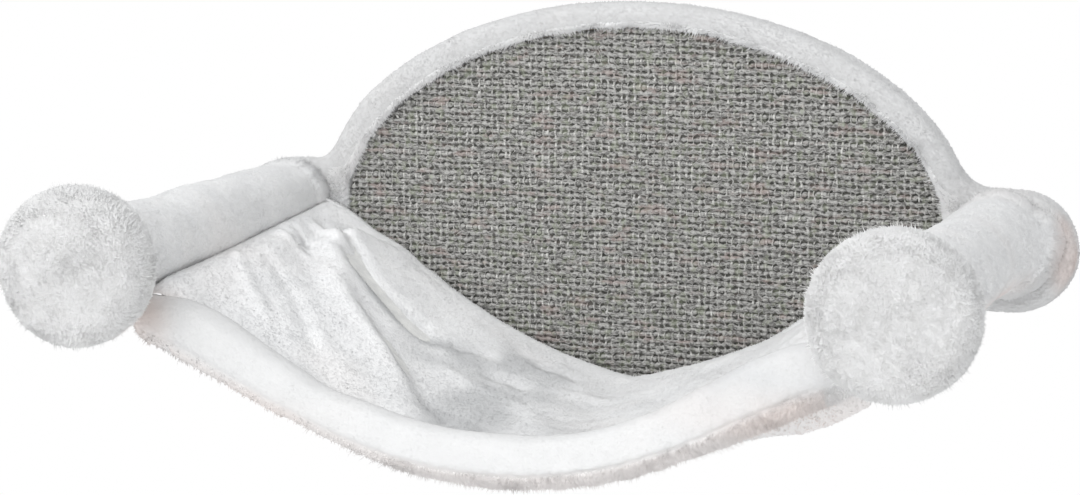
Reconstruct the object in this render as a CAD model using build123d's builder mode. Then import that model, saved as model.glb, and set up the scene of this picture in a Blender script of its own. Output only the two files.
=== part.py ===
from build123d import *
from math import asin, atan2, cos, degrees, hypot, pi, radians, sin, tan
import os

# Wall hammock for a cat. The back lies on the wall at y = 0, the front looks along -Y, +Z is up,
# and z = 0 is the height of both arms and of the two wall hangers.

# Backing board, an oval with a lug at each end for the arm, and the arms' reach to the end discs
board_width = 416.0
board_height = 264.0
board_thickness = 15.0
lug_reach = 62.0
lug_height = 74.0
lug_drop = 10.0
inner_corner_radius = 9.0
arm_length = 295.0

# Plush cover of the board and its padded border
cover_thickness = 4.0
cover_hem = 2.0
cover_hem_width = 30.0
border_roll = 9.0
border_width = 19.5
border_top_share = 0.85
wadding_clearance = 0.2

# Sisal mat
mat_thickness = 6.2
mat_edge_chamfer = 1.0
glue_gap = 0.1

# Arms
bar_radius = 20.0
bar_chamfer = 1.5
sleeve_radius = 26.5
sleeve_waist = 1.2
sleeve_fit = 0.3
soft_clearance = 0.3

# Bolts, washers and threaded inserts, M8
thread_radius = 4.0
thread_fit = 0.05
thread_pitch = 1.25
insert_radius = 6.0
rear_insert_length = 24.0
front_insert_length = 32.0
insert_seat = 0.05
bolt_length = 30.0
bolt_head_height = 5.3
bolt_head_across_flats = 13.0
washer_radius = 12.0
washer_thickness = 1.6
washer_bore_radius = 4.2
bolt_pocket_depth = 8.0
bolt_pocket_margin = 1.0

# Wall hangers
hanger_inset = 58.0
hanger_width = 44.0
hanger_height = 26.0
hanger_thickness = 2.0
hanger_corner_radius = 6.0
keyhole_entry_radius = 5.0
keyhole_slot_radius = 2.4
keyhole_rise = 9.0
hanger_screw_spacing = 32.0
hanger_screw_radius = 1.75
hanger_screw_head_radius = 3.2
hanger_screw_length = 12.0
screw_fit = 0.05
countersink_angle = 45.0
relief_depth = 9.0
relief_margin = 2.0

# Staples
staple_count = 30
staple_crown = 10.0
staple_wire = 1.0
staple_leg = 8.0
staple_inset = 15.0

# Sling
sling_sag = 104.0
sling_gap = 0.5
face_thickness = 4.0
filling_thickness = 6.0
underside_thickness = 3.5
rear_hem_radius = 6.2

# Front bolster
bolster_clear_of_disc = 40.0
bolster_under_arm = 8.0
bolster_mid_height = 25.0

# End discs
disc_radius = 44.0
disc_thickness = 35.0
disc_crown = 2.5
disc_front_roll = 11.0
disc_back_roll = 6.0
disc_plush = 4.0
disc_back_hem = 3.0
disc_back_opening_radius = 26.0
disc_core_radius = 36.0
disc_core_thickness = 15.0
disc_gap = 0.5
stud_grip = 12.0
stud_chamfer = 1.0
unscrewing_turns = 20
stud_spare = 2.0

overrun = 1.0

# Levels counted from the wall
board_front = cover_hem + board_thickness
mat_back = board_front + glue_gap
mat_front = mat_back + mat_thickness
cover_inside = mat_front
cover_front = cover_inside + cover_thickness
hem_back = mat_front + soft_clearance
sling_back = hem_back + 2 * rear_hem_radius + soft_clearance
sling_front = arm_length - bolster_clear_of_disc
bar_back = board_front
bar_front = arm_length - disc_gap
sleeve_back = cover_front + soft_clearance
core_back = arm_length + disc_back_hem + wadding_clearance
core_front = core_back + disc_core_thickness
disc_front = arm_length + disc_thickness
stud_reach = unscrewing_turns * thread_pitch + stud_spare

# Half sizes
board_half_width = board_width / 2
board_half_height = board_height / 2
half_width = board_half_width + lug_reach
arm_x = half_width - disc_radius
mat_half_width = board_half_width - border_width
mat_half_height = board_half_height - border_width * border_top_share
sling_half_span = arm_x - sleeve_radius - sling_gap
sides = (("left", -1), ("right", 1))

os.makedirs("parts", exist_ok=True)


def save(piece, label):
    """Name a finished piece and write it."""
    piece.label = label
    export_step(piece, f"parts/{label}.step")


def arm_axis(side):
    """Centre line of one arm, pointing to the wall."""
    return Axis((side * arm_x, 0, 0), (0, 1, 0))


def arm_plane(side, distance):
    """Plane square to one arm, at a distance from the wall and facing the room."""
    return Plane((side * arm_x, -distance, 0), x_dir=(1, 0, 0), z_dir=(0, -1, 0))


def arm_section(side):
    """Plane along one arm: X is the distance from its centre line, -Y is the distance from the wall."""
    return Plane((side * arm_x, 0, 0))


def oval_slab(inset, back, front, edge_roll):
    """Slab in the board's outline, an oval with a round lug at each end, with a rolled front edge."""
    with BuildPart() as slab:
        with BuildSketch(Plane.XZ.offset(back)) as outline:
            Ellipse(board_half_width - inset, board_half_height - inset)
            with Locations((0, -lug_drop)):
                SlotOverall(2 * (half_width - inset), lug_height - 2 * inset)
            inner_corners = outline.vertices().filter_by(lambda v: abs(v.X) < board_half_width - inset)
            fillet(inner_corners, inner_corner_radius)
        extrude(amount=front - back)
        if edge_roll > 0:
            fillet(slab.faces().sort_by(Axis.Y)[0].outer_wire().edges(), edge_roll)
    return slab.part


def tube(side, back, front, radius, bore):
    """Plain ring round an arm's centre line."""
    with BuildPart() as ring:
        with BuildSketch(arm_plane(side, back)):
            Circle(radius)
            Circle(bore, mode=Mode.SUBTRACT)
        extrude(amount=front - back)
    return ring.part


# Backing board, drilled for the arm bolts and relieved behind the hangers
pocket_radius = washer_radius + bolt_pocket_margin
hanger_places = [(side * (board_half_width - hanger_inset), 0) for name, side in sides]
hanger_screw_places = [
    (x + end * hanger_screw_spacing / 2, z) for x, z in hanger_places for end in (-1, 1)
]
with BuildPart() as back_board:
    add(oval_slab(cover_thickness, cover_hem, board_front, 0))
    with BuildSketch(Plane.XZ):
        with Locations(*[(side * arm_x, 0) for name, side in sides]):
            Circle(thread_radius + thread_fit)
    extrude(amount=board_front + overrun, mode=Mode.SUBTRACT)
    with BuildSketch(Plane.XZ):
        with Locations(*[(side * arm_x, 0) for name, side in sides]):
            Circle(pocket_radius)
    extrude(amount=cover_hem + bolt_pocket_depth, mode=Mode.SUBTRACT)
    with BuildSketch(Plane.XZ):
        for x, z in hanger_places:
            with Locations((x, z + keyhole_rise / 2)):
                SlotCenterToCenter(keyhole_rise, 2 * (keyhole_entry_radius + relief_margin), rotation=90)
    extrude(amount=cover_hem + relief_depth, mode=Mode.SUBTRACT)
    with BuildSketch(Plane.XZ):
        with Locations(*hanger_screw_places):
            Circle(hanger_screw_radius + screw_fit)
    extrude(amount=cover_hem + hanger_screw_length, mode=Mode.SUBTRACT)
save(back_board.part, "back_board")

# Plush cover: padded border in front, edge band, and a hem folded to the back
inner_roll = border_roll - cover_thickness
with BuildPart() as board_plush_cover:
    add(oval_slab(0, 0, cover_front, border_roll))
    add(oval_slab(cover_thickness, cover_hem, cover_inside, inner_roll), mode=Mode.SUBTRACT)
    with BuildSketch(Plane.XZ.offset(board_front)):
        Ellipse(mat_half_width, mat_half_height)
        with Locations(*[(side * arm_x, 0) for name, side in sides]):
            Circle(bar_radius + sleeve_fit)
    extrude(amount=cover_front, mode=Mode.SUBTRACT)
    with BuildSketch(Plane.XZ.offset(-overrun)):
        Ellipse(board_half_width - cover_hem_width, board_half_height - cover_hem_width)
        with Locations(*[(side * arm_x, 0) for name, side in sides]):
            Circle(pocket_radius)
    extrude(amount=cover_hem + 2 * overrun, mode=Mode.SUBTRACT)
save(board_plush_cover.part, "board_plush_cover")

# Wadding ring under the border
with BuildPart() as rim_padding:
    add(oval_slab(cover_thickness + wadding_clearance, mat_back, cover_inside - wadding_clearance, inner_roll))
    with BuildSketch(Plane.XZ.offset(board_front)):
        Ellipse(mat_half_width + wadding_clearance, mat_half_height + wadding_clearance)
        with Locations(*[(side * arm_x, 0) for name, side in sides]):
            Circle(bar_radius + sleeve_fit)
    extrude(amount=cover_front, mode=Mode.SUBTRACT)
save(rim_padding.part, "rim_padding")

# Woven scratching mat
with BuildPart() as sisal_mat:
    with BuildSketch(Plane.XZ.offset(mat_back)):
        Ellipse(mat_half_width - wadding_clearance, mat_half_height - wadding_clearance)
    extrude(amount=mat_thickness)
    chamfer(sisal_mat.faces().sort_by(Axis.Y)[0].edges(), mat_edge_chamfer)
save(sisal_mat.part, "sisal_mat")

# Staples through the folded hem, spaced round the oval and clear of the lugs' bolt pockets
staple_half_width = board_half_width - staple_inset
staple_half_height = board_half_height - staple_inset
staple_places = []
for i in range(staple_count):
    turn = 2 * pi * (i + 0.5) / staple_count
    x = staple_half_width * cos(turn)
    z = staple_half_height * sin(turn)
    tilt = degrees(atan2(staple_half_height * cos(turn), -staple_half_width * sin(turn)))
    if hypot(abs(x) - arm_x, z) > pocket_radius + staple_crown:
        staple_places.append(Location((x, -staple_wire, z), (0, -tilt, 0)))
with BuildPart() as staple:
    Box(staple_crown, staple_wire, staple_wire, align=(Align.CENTER, Align.MIN, Align.CENTER))
    with Locations(*[(end * (staple_crown - staple_wire) / 2, 0, 0) for end in (-1, 1)]):
        Box(staple_wire, staple_leg, staple_wire, align=(Align.CENTER, Align.MAX, Align.CENTER))
with BuildPart() as cover_staples:
    with Locations(*staple_places):
        add(staple.part)
save(cover_staples.part, "cover_staples")

# Keyhole hanger plates, flush with the folded hem, and their countersunk wood screws
head_height = (hanger_screw_head_radius - hanger_screw_radius) / tan(radians(countersink_angle))
for (name, side), (x, z) in zip(sides, hanger_places):
    with BuildPart() as hanger_plate:
        with BuildSketch(Plane.XZ.offset(cover_hem - hanger_thickness)):
            with Locations((x, z + keyhole_rise / 2)):
                RectangleRounded(hanger_width, hanger_height, hanger_corner_radius)
            with Locations((x, z)):
                Circle(keyhole_entry_radius, mode=Mode.SUBTRACT)
            with Locations((x, z + keyhole_rise / 2)):
                SlotCenterToCenter(keyhole_rise, 2 * keyhole_slot_radius, rotation=90, mode=Mode.SUBTRACT)
            with Locations(*[(x + end * hanger_screw_spacing / 2, z) for end in (-1, 1)]):
                Circle(hanger_screw_radius + screw_fit, mode=Mode.SUBTRACT)
        extrude(amount=hanger_thickness)
        with BuildSketch(Plane.XZ.offset(cover_hem - hanger_thickness)):
            with Locations(*[(x + end * hanger_screw_spacing / 2, z) for end in (-1, 1)]):
                Circle(hanger_screw_head_radius + screw_fit)
        extrude(amount=head_height, taper=countersink_angle, mode=Mode.SUBTRACT)
    save(hanger_plate.part, f"{name}_hanger_plate")

with BuildPart() as hanger_screws:
    with BuildSketch(Plane.XZ.offset(cover_hem - hanger_thickness)):
        with Locations(*hanger_screw_places):
            Circle(hanger_screw_head_radius)
    extrude(amount=head_height, taper=countersink_angle)
    with BuildSketch(Plane.XZ.offset(cover_hem - hanger_thickness)):
        with Locations(*hanger_screw_places):
            Circle(hanger_screw_radius)
    extrude(amount=hanger_screw_length)
save(hanger_screws.part, "hanger_screws")

# Bolts and washers from the back of the board into the bars
pocket_floor = cover_hem + bolt_pocket_depth
washer_back = pocket_floor - washer_thickness
with BuildPart() as arm_washers:
    for name, side in sides:
        add(tube(side, washer_back, pocket_floor, washer_radius, washer_bore_radius))
save(arm_washers.part, "arm_washers")

with BuildPart() as arm_bolts:
    for name, side in sides:
        with BuildSketch(arm_plane(side, washer_back - bolt_head_height)):
            RegularPolygon(bolt_head_across_flats / 2, 6, major_radius=False)
        extrude(amount=bolt_head_height)
        with BuildSketch(arm_plane(side, washer_back)):
            Circle(thread_radius)
        extrude(amount=bolt_length)
save(arm_bolts.part, "arm_bolts")

# Round bars with a pocket for a threaded insert at each end
for name, side in sides:
    with BuildPart() as bar:
        with BuildSketch(arm_plane(side, bar_back)):
            Circle(bar_radius)
        extrude(amount=bar_front - bar_back)
        chamfer(bar.faces().sort_by(Axis.Y)[0].edges(), bar_chamfer)
        with BuildSketch(arm_plane(side, bar_back)):
            Circle(insert_radius + insert_seat)
        extrude(amount=rear_insert_length, mode=Mode.SUBTRACT)
        with BuildSketch(arm_plane(side, bar_front)):
            Circle(insert_radius + insert_seat)
        extrude(amount=-front_insert_length, mode=Mode.SUBTRACT)
    save(bar.part, f"{name}_bar")

with BuildPart() as rear_inserts:
    for name, side in sides:
        add(tube(side, bar_back, bar_back + rear_insert_length, insert_radius, thread_radius + thread_fit))
save(rear_inserts.part, "rear_inserts")

with BuildPart() as front_inserts:
    for name, side in sides:
        add(tube(side, bar_front - front_insert_length, bar_front, insert_radius, thread_radius + thread_fit))
save(front_inserts.part, "front_inserts")

# Sleeves: plush tubes, drawn in a little between soft bulges, gathered at the board
sleeve_station_shares = (0.0, 0.06, 0.38, 0.70, 1.0)
sleeve_front = bar_front - soft_clearance
sleeve_bore = bar_radius + sleeve_fit
for name, side in sides:
    stations = [sleeve_back + share * (sleeve_front - sleeve_back) for share in sleeve_station_shares]
    waist = sleeve_radius - sleeve_waist
    with BuildPart() as sleeve:
        with BuildSketch(arm_section(side)):
            with BuildLine():
                for start, end in zip(stations, stations[1:]):
                    middle = (start + end) / 2
                    ThreePointArc((waist, -start), (sleeve_radius, -middle), (waist, -end))
                Polyline((waist, -sleeve_front), (sleeve_bore, -sleeve_front), (sleeve_bore, -sleeve_back))
                Line((sleeve_bore, -sleeve_back), (waist, -sleeve_back))
            make_face()
        revolve(axis=arm_axis(side))
    save(sleeve.part, f"{name}_sleeve")

# Sling. Each row is one cross section, from the mat to the bolster. Its points run from the left
# sleeve to the right one: side crest, side valley, main fold, valley behind it, middle, right side,
# and the slack under the right sleeve, which grows towards the bolster.
sling_depth_shares = (0.0, 0.25, 0.50, 0.75, 1.0)
sling_sag_shares = (0.93, 0.98, 1.0, 0.98, 0.91)
across_shares = (
    (-1.0, -0.90, -0.80, -0.70, -0.52, 0.02, 0.52, 0.80, 1.0),
    (-1.0, -0.95, -0.91, -0.83, -0.56, 0.00, 0.52, 0.82, 1.0),
    (-1.0, -0.91, -0.80, -0.62, -0.45, 0.03, 0.52, 0.84, 1.0),
    (-1.0, -0.93, -0.62, -0.37, -0.22, 0.10, 0.53, 0.89, 1.0),
    (-1.0, -0.90, -0.60, -0.31, -0.15, 0.12, 0.53, 0.93, 1.0),
)
drop_shares = (
    (-0.02, 0.07, 0.19, 0.33, 0.58, 1.00, 0.63, 0.20, -0.02),
    (0.02, 0.05, 0.13, 0.11, 0.60, 1.00, 0.66, 0.25, 0.03),
    (0.06, 0.09, 0.28, 0.46, 0.76, 1.00, 0.70, 0.38, 0.06),
    (0.10, 0.13, 0.57, 0.79, 0.96, 1.00, 0.75, 0.52, 0.09),
    (0.14, 0.17, 0.60, 0.93, 1.00, 1.00, 0.80, 0.61, 0.13),
)
bulge_shares = (-0.01, 0.01, -0.01, 0.02, 0.06, 0.04, -0.01, 0.02)


def sling_layer(top_drop, thickness):
    """One layer of the sling, hung under its upper face by the drop."""
    with BuildPart() as layer:
        rows = zip(sling_depth_shares, sling_sag_shares, across_shares, drop_shares)
        for depth_share, sag_share, across_row, drop_row in rows:
            sag = sling_sag * sag_share
            top = [(a * sling_half_span, -d * sag - top_drop) for a, d in zip(across_row, drop_row)]
            with BuildSketch(Plane.XZ.offset(sling_back + depth_share * (sling_front - sling_back))):
                with BuildLine():
                    for lower in (0, thickness):
                        for start, end, bulge in zip(top, top[1:], bulge_shares):
                            middle_x = (start[0] + end[0]) / 2
                            middle_z = (start[1] + end[1]) / 2 - bulge * sag
                            ThreePointArc(
                                (start[0], start[1] - lower),
                                (middle_x, middle_z - lower),
                                (end[0], end[1] - lower),
                            )
                    for x, z in (top[0], top[-1]):
                        Line((x, z), (x, z - thickness))
                make_face()
        loft()
    return layer.part


filling_drop = face_thickness + wadding_clearance
underside_drop = filling_drop + filling_thickness + wadding_clearance
save(sling_layer(0, face_thickness), "sling_lying_face")
save(sling_layer(filling_drop, filling_thickness), "sling_filling")
save(sling_layer(underside_drop, underside_thickness), "sling_underside")


def across_plane(path, i):
    """Plane square to a path of (x, distance, z) points at one of them, or to X at its ends."""
    x, distance, z = path[i]
    run, rise = 1, 0
    if 0 < i < len(path) - 1:
        run = path[i + 1][0] - path[i - 1][0]
        rise = path[i + 1][2] - path[i - 1][2]
    return Plane((x, -distance, z), x_dir=(0, 1, 0), z_dir=(run, 0, rise))


def round_section(radius, centre):
    """Circle of four quarter arcs."""
    with BuildLine() as outline:
        for quarter in range(4):
            CenterArc(centre, radius, 90 * quarter, 90)
    make_face(outline.edges())


# Rear hem: a soft roll between the mat and the sling's rear edge, slimmer where it crosses the border
hem_across_shares = (-1.0, -0.88, -0.70, -0.45, -0.22, 0.0, 0.22, 0.45, 0.70, 0.88, 1.0)
hem_drop_shares = (-0.02, 0.09, 0.33, 0.68, 0.93, 1.0, 0.93, 0.69, 0.35, 0.10, -0.02)
hem_radius_shares = (0.64, 0.64, 0.85, 1.0, 1.0, 1.0, 1.0, 1.0, 0.85, 0.64, 0.64)
hem_path = []
for across, drop, share in zip(hem_across_shares, hem_drop_shares, hem_radius_shares):
    radius = rear_hem_radius * share
    distance = sling_back - soft_clearance - radius
    hem_path.append((across * sling_half_span, distance, -drop * sling_sag * sling_sag_shares[0] - radius / 2))
with BuildPart() as rear_hem:
    for i, share in enumerate(hem_radius_shares):
        with BuildSketch(across_plane(hem_path, i)):
            round_section(rear_hem_radius * share, (0, 0))
    loft()
save(rear_hem.part, "rear_hem")

# Front bolster: a padded roll with a seam and a narrower band under it, thicker towards the arms,
# with its ends tucked under them.
# Its outline's points are shares of its height at each place, behind the path first, then up.
bolster_across_shares = (-1.0, -0.87, -0.71, -0.475, -0.24, 0.0, 0.24, 0.475, 0.71, 0.87, 1.0)
bolster_drop_shares = (0.345, 0.395, 0.54, 0.77, 0.92, 0.965, 0.92, 0.77, 0.54, 0.395, 0.345)
bolster_height_shares = (1.15, 1.36, 1.30, 1.08, 1.0, 1.0, 1.0, 1.08, 1.30, 1.36, 1.15)
bolster_outline_shares = (
    ((0.40, 0.18), (0.0, 0.50), (-0.40, 0.20)),
    ((-0.40, 0.20), (-0.46, 0.02), (-0.32, -0.16)),
    ((-0.32, -0.16), (-0.34, -0.33), (-0.10, -0.49)),
    ((-0.10, -0.49), (0.16, -0.47), (0.36, -0.30)),
    ((0.36, -0.30), (0.44, -0.06), (0.40, 0.18)),
)
bolster_back_share = 0.46
filling_radius_share = 0.30
filling_rise_share = 0.12
bolster_half_length = sling_half_span + bolster_under_arm
bolster_heights = [bolster_mid_height * share for share in bolster_height_shares]
bolster_path = [
    (across * bolster_half_length, sling_front + soft_clearance + bolster_back_share * height, -drop * sling_sag)
    for across, drop, height in zip(bolster_across_shares, bolster_drop_shares, bolster_heights)
]


def filling_roll(clearance):
    """Round filling of the bolster, slimmer than its bore by the clearance."""
    with BuildPart() as roll:
        for i, height in enumerate(bolster_heights):
            with BuildSketch(across_plane(bolster_path, i)):
                round_section(filling_radius_share * height - clearance, (0, filling_rise_share * height))
        loft()
    return roll.part


with BuildPart() as bolster_cover:
    for i, height in enumerate(bolster_heights):
        with BuildSketch(across_plane(bolster_path, i)):
            with BuildLine():
                for points in bolster_outline_shares:
                    ThreePointArc(*[(u * height, v * height) for u, v in points])
            make_face()
    loft()
    add(filling_roll(0), mode=Mode.SUBTRACT)
save(bolster_cover.part, "front_bolster_cover")
save(filling_roll(wadding_clearance), "front_bolster_filling")

# End discs: plush cover, wadding, wooden core and the stud that screws into the bar
disc_inside_radius = disc_radius - disc_plush


def disc_outline(radius, back, front, front_roll, back_roll, crown):
    """Closed half outline of a crowned disc, from its centre line outwards."""
    rim = radius - front_roll
    shoulder = front - crown
    crown_radius = (rim**2 + crown**2) / (2 * crown)
    with BuildLine() as outline:
        Line((0, -back), (radius - back_roll, -back))
        CenterArc((radius - back_roll, -back - back_roll), back_roll, 0, 90)
        Line((radius, -back - back_roll), (radius, -shoulder + front_roll))
        CenterArc((rim, -shoulder + front_roll), front_roll, 270, 90)
        CenterArc((0, -front + crown_radius), crown_radius, 270, degrees(asin(rim / crown_radius)))
        Line((0, -front), (0, -back))
    make_face(outline.edges())


for name, side in sides:
    with BuildPart() as disc_body:
        with BuildSketch(arm_section(side)):
            disc_outline(disc_radius, arm_length, disc_front, disc_front_roll, disc_back_roll, disc_crown)
        revolve(axis=arm_axis(side))
    with BuildPart() as disc_hollow:
        with BuildSketch(arm_section(side)):
            disc_outline(
                disc_inside_radius,
                arm_length + disc_back_hem,
                disc_front - disc_plush,
                disc_front_roll - disc_plush,
                disc_back_roll - disc_back_hem,
                disc_crown,
            )
        revolve(axis=arm_axis(side))
    with BuildPart() as disc_wadding:
        with BuildSketch(arm_section(side)):
            disc_outline(
                disc_inside_radius - wadding_clearance,
                core_back,
                disc_front - disc_plush - wadding_clearance,
                disc_front_roll - disc_plush,
                disc_back_roll - disc_back_hem,
                disc_crown,
            )
        revolve(axis=arm_axis(side))
        with BuildSketch(arm_plane(side, core_back - overrun)):
            Circle(disc_core_radius + wadding_clearance)
        extrude(amount=disc_core_thickness + overrun + wadding_clearance, mode=Mode.SUBTRACT)
    with BuildPart() as disc_cover:
        add(disc_body.part)
        add(disc_hollow.part, mode=Mode.SUBTRACT)
        with BuildSketch(arm_plane(side, arm_length - overrun)):
            Circle(disc_back_opening_radius)
        extrude(amount=disc_back_hem + 2 * overrun, mode=Mode.SUBTRACT)
    with BuildPart() as disc_core:
        with BuildSketch(arm_plane(side, core_back)):
            Circle(disc_core_radius)
        extrude(amount=disc_core_thickness)
        with BuildSketch(arm_plane(side, core_back)):
            Circle(thread_radius + thread_fit)
        extrude(amount=stud_grip, mode=Mode.SUBTRACT)
    with BuildPart() as disc_stud:
        with BuildSketch(arm_plane(side, bar_front - stud_reach)):
            Circle(thread_radius)
        extrude(amount=core_back + stud_grip - soft_clearance - bar_front + stud_reach)
        chamfer(disc_stud.faces().sort_by(Axis.Y)[-1].edges(), stud_chamfer)
    save(disc_cover.part, f"{name}_disc_cover")
    save(disc_wadding.part, f"{name}_disc_wadding")
    save(disc_core.part, f"{name}_disc_core")
    save(disc_stud.part, f"{name}_disc_stud")
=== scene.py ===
import bpy
import numpy as np
from itertools import product
from math import cos, pi, sin
from mathutils import Matrix, Vector
from mathutils.bvhtree import BVHTree


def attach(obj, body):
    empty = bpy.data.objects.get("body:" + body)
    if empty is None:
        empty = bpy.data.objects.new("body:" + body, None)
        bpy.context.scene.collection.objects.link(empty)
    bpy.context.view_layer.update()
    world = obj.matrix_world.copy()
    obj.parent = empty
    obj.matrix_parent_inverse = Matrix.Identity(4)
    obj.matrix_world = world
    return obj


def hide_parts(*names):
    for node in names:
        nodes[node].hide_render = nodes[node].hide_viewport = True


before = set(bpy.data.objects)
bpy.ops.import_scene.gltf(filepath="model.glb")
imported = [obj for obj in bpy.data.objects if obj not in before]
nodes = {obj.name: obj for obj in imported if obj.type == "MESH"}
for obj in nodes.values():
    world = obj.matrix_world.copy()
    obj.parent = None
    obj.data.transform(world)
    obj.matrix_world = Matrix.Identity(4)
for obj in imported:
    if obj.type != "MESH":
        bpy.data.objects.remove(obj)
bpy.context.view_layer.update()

# The object's own sizes are in millimetres, as in the drawings, and meshes are made in metres.
# Lumps are written as their amount, their size and the seed of their random table.
MM = 0.001
SIDES = (("left", -1), ("right", 1))

# Board, border and mat
BOARD_HALF_WIDTH, BOARD_HALF_HEIGHT = 208.0, 132.0
LUG_CENTRE_X, LUG_RADIUS, LUG_DROP = 233.0, 37.0, 10.0
MAT_CENTRE_X, MAT_HALF_WIDTH, MAT_HALF_HEIGHT, MAT_SLIMNESS = 1.8, 190.4, 115.6, 1.87
MAT_BACK, MAT_FRONT = 17.1, 23.3
COVER_FRONT = 27.3

# Arms
ARM_X = 226.0
BAR_RADIUS = 20.3
SLEEVE_RADIUS = 26.0

# Sling and its front bolster
SLING_BACK, SLING_FRONT, SLING_HALF_SPAN = 36.3, 255.0, 199.0
SLING_SAG, SLING_THICKNESS = 104.0, 11.0
BOLSTER_HEIGHT, BOLSTER_HALF_LENGTH = 25.0, 207.0
BOLSTER_ACROSS_SHARES = (-1.0, -0.87, -0.71, -0.475, -0.24, 0.0, 0.24, 0.475, 0.71, 0.87, 1.0)
BOLSTER_DROP_SHARES = (0.345, 0.395, 0.54, 0.77, 0.92, 0.965, 0.92, 0.77, 0.54, 0.395, 0.345)
BOLSTER_HEIGHT_SHARES = (1.08, 1.36, 1.30, 1.08, 1.0, 1.0, 1.0, 1.08, 1.30, 1.36, 1.08)


# Mesh tools

NOISE_CELLS = 32
LEAST_LENGTH, LEAST_REACH = 1e-9, 1e-6

# Tufts: the lumps of their lean, each with a step of the tufts' seed, then the spans of their length and
# width as shares of the given ones, and how much longer and thinner a stray hair is
TUFT_LEAN_LUMPS = ((1.0, 13, 0), (0.5, 5, 9))
TUFT_SCATTER = 0.25
TUFT_LENGTH_SHARES, TUFT_WIDTH_SHARES = (0.65, 1.2), (0.7, 1.3)
HAIR_LENGTH_SHARE, HAIR_WIDTH_SHARE = 2.1, 0.45
TUFT_ROOT_DEPTH = 0.4
TUFT_SHADE_LEAN = 0.08
HALF_MAP_PIXEL = 0.5 / 1024


def lumps(points, size, seed):
    """Soft random swelling of one size, from -1 to 1 at each point."""
    table = np.random.default_rng(seed).uniform(-1, 1, (NOISE_CELLS,) * 3)
    at = np.asarray(points) / size
    low = np.floor(at).astype(int)
    part = at - low
    part = part * part * (3 - 2 * part)
    total = np.zeros(at.shape[:-1])
    for corner in product((0, 1), repeat=3):
        near = (low + corner) % NOISE_CELLS
        weight = np.prod(np.where(corner, part, 1 - part), axis=-1)
        total += weight * table[near[..., 0], near[..., 1], near[..., 2]]
    return total


def uneven(points, *layers):
    """Sum of lumps of several sizes at each point."""
    return sum(amount * lumps(points, size, seed) for amount, size, seed in layers)


def ease(x):
    """0 below 0, 1 above 1, and a soft S between."""
    x = np.clip(x, 0, 1)
    return x * x * (3 - 2 * x)


def hump(away, half_width):
    """A smooth rise, 1 at its middle, that fades out on both sides."""
    return np.exp(-((away / half_width) ** 2))


def unit(vectors):
    """The vectors with a length of 1."""
    return vectors / np.maximum(np.linalg.norm(vectors, axis=-1, keepdims=True), LEAST_LENGTH)


def smooth_through(at, keys, values):
    """Values between keys on a smooth line through them."""
    keys, values = np.asarray(keys, float), np.asarray(values, float)
    slopes = np.gradient(values, keys)
    k = np.clip(np.searchsorted(keys, at, side="right") - 1, 0, len(keys) - 2)
    gap = keys[k + 1] - keys[k]
    t = (at - keys[k]) / gap
    return (
        (2 * t**3 - 3 * t**2 + 1) * values[k]
        + (t**3 - 2 * t**2 + t) * gap * slopes[k]
        + (3 * t**2 - 2 * t**3) * values[k + 1]
        + (t**3 - t**2) * gap * slopes[k + 1]
    )


def bolster_line(across):
    """Drop and height of the bolster at each share across."""
    drop = smooth_through(across, BOLSTER_ACROSS_SHARES, BOLSTER_DROP_SHARES) * SLING_SAG
    height = BOLSTER_HEIGHT * smooth_through(across, BOLSTER_ACROSS_SHARES, BOLSTER_HEIGHT_SHARES)
    return drop, height


def grid_normals(grid, wrap, flip=False):
    """Unit normal at each point of a grid of rows and columns."""
    down = np.gradient(grid, axis=0)
    if wrap:
        across = (np.roll(grid, -1, 1) - np.roll(grid, 1, 1)) / 2
    else:
        across = np.gradient(grid, axis=1)
    normals = unit(np.cross(across, down))
    return -normals if flip else normals


def swell(grid, amount, wrap, flip=False):
    """The grid moved along its normals by an amount at each point."""
    return grid + grid_normals(grid, wrap, flip) * np.asarray(amount)[..., None]


def grid_cells(grid, wrap):
    """Row and column of each cell's first corner."""
    rows, columns = grid.shape[:2]
    i, j = np.meshgrid(np.arange(rows - 1), np.arange(columns if wrap else columns - 1), indexing="ij")
    return i.ravel(), j.ravel()


def grid_faces(grid, wrap, flip):
    """Corner numbers and map places of the grid's four-sided faces."""
    rows, columns = grid.shape[:2]
    i, j = grid_cells(grid, wrap)
    steps = ((0, 0), (0, 1), (1, 1), (1, 0))
    if flip:
        steps = steps[::-1]
    faces = np.stack([(i + a) * columns + (j + b) % columns for a, b in steps], 1)
    width = columns if wrap else columns - 1
    places = np.stack([np.stack([(j + b) / width, (i + a) / (rows - 1)], 1) for a, b in steps], 1)
    return faces, places


def ring(side, radius, turn, distance):
    """Points round an arm's axis, from their radius, their turn and their distance from the wall."""
    x, z = side * ARM_X + radius * np.cos(turn), radius * np.sin(turn)
    return np.stack(np.broadcast_arrays(x, -distance, z), -1)


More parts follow.
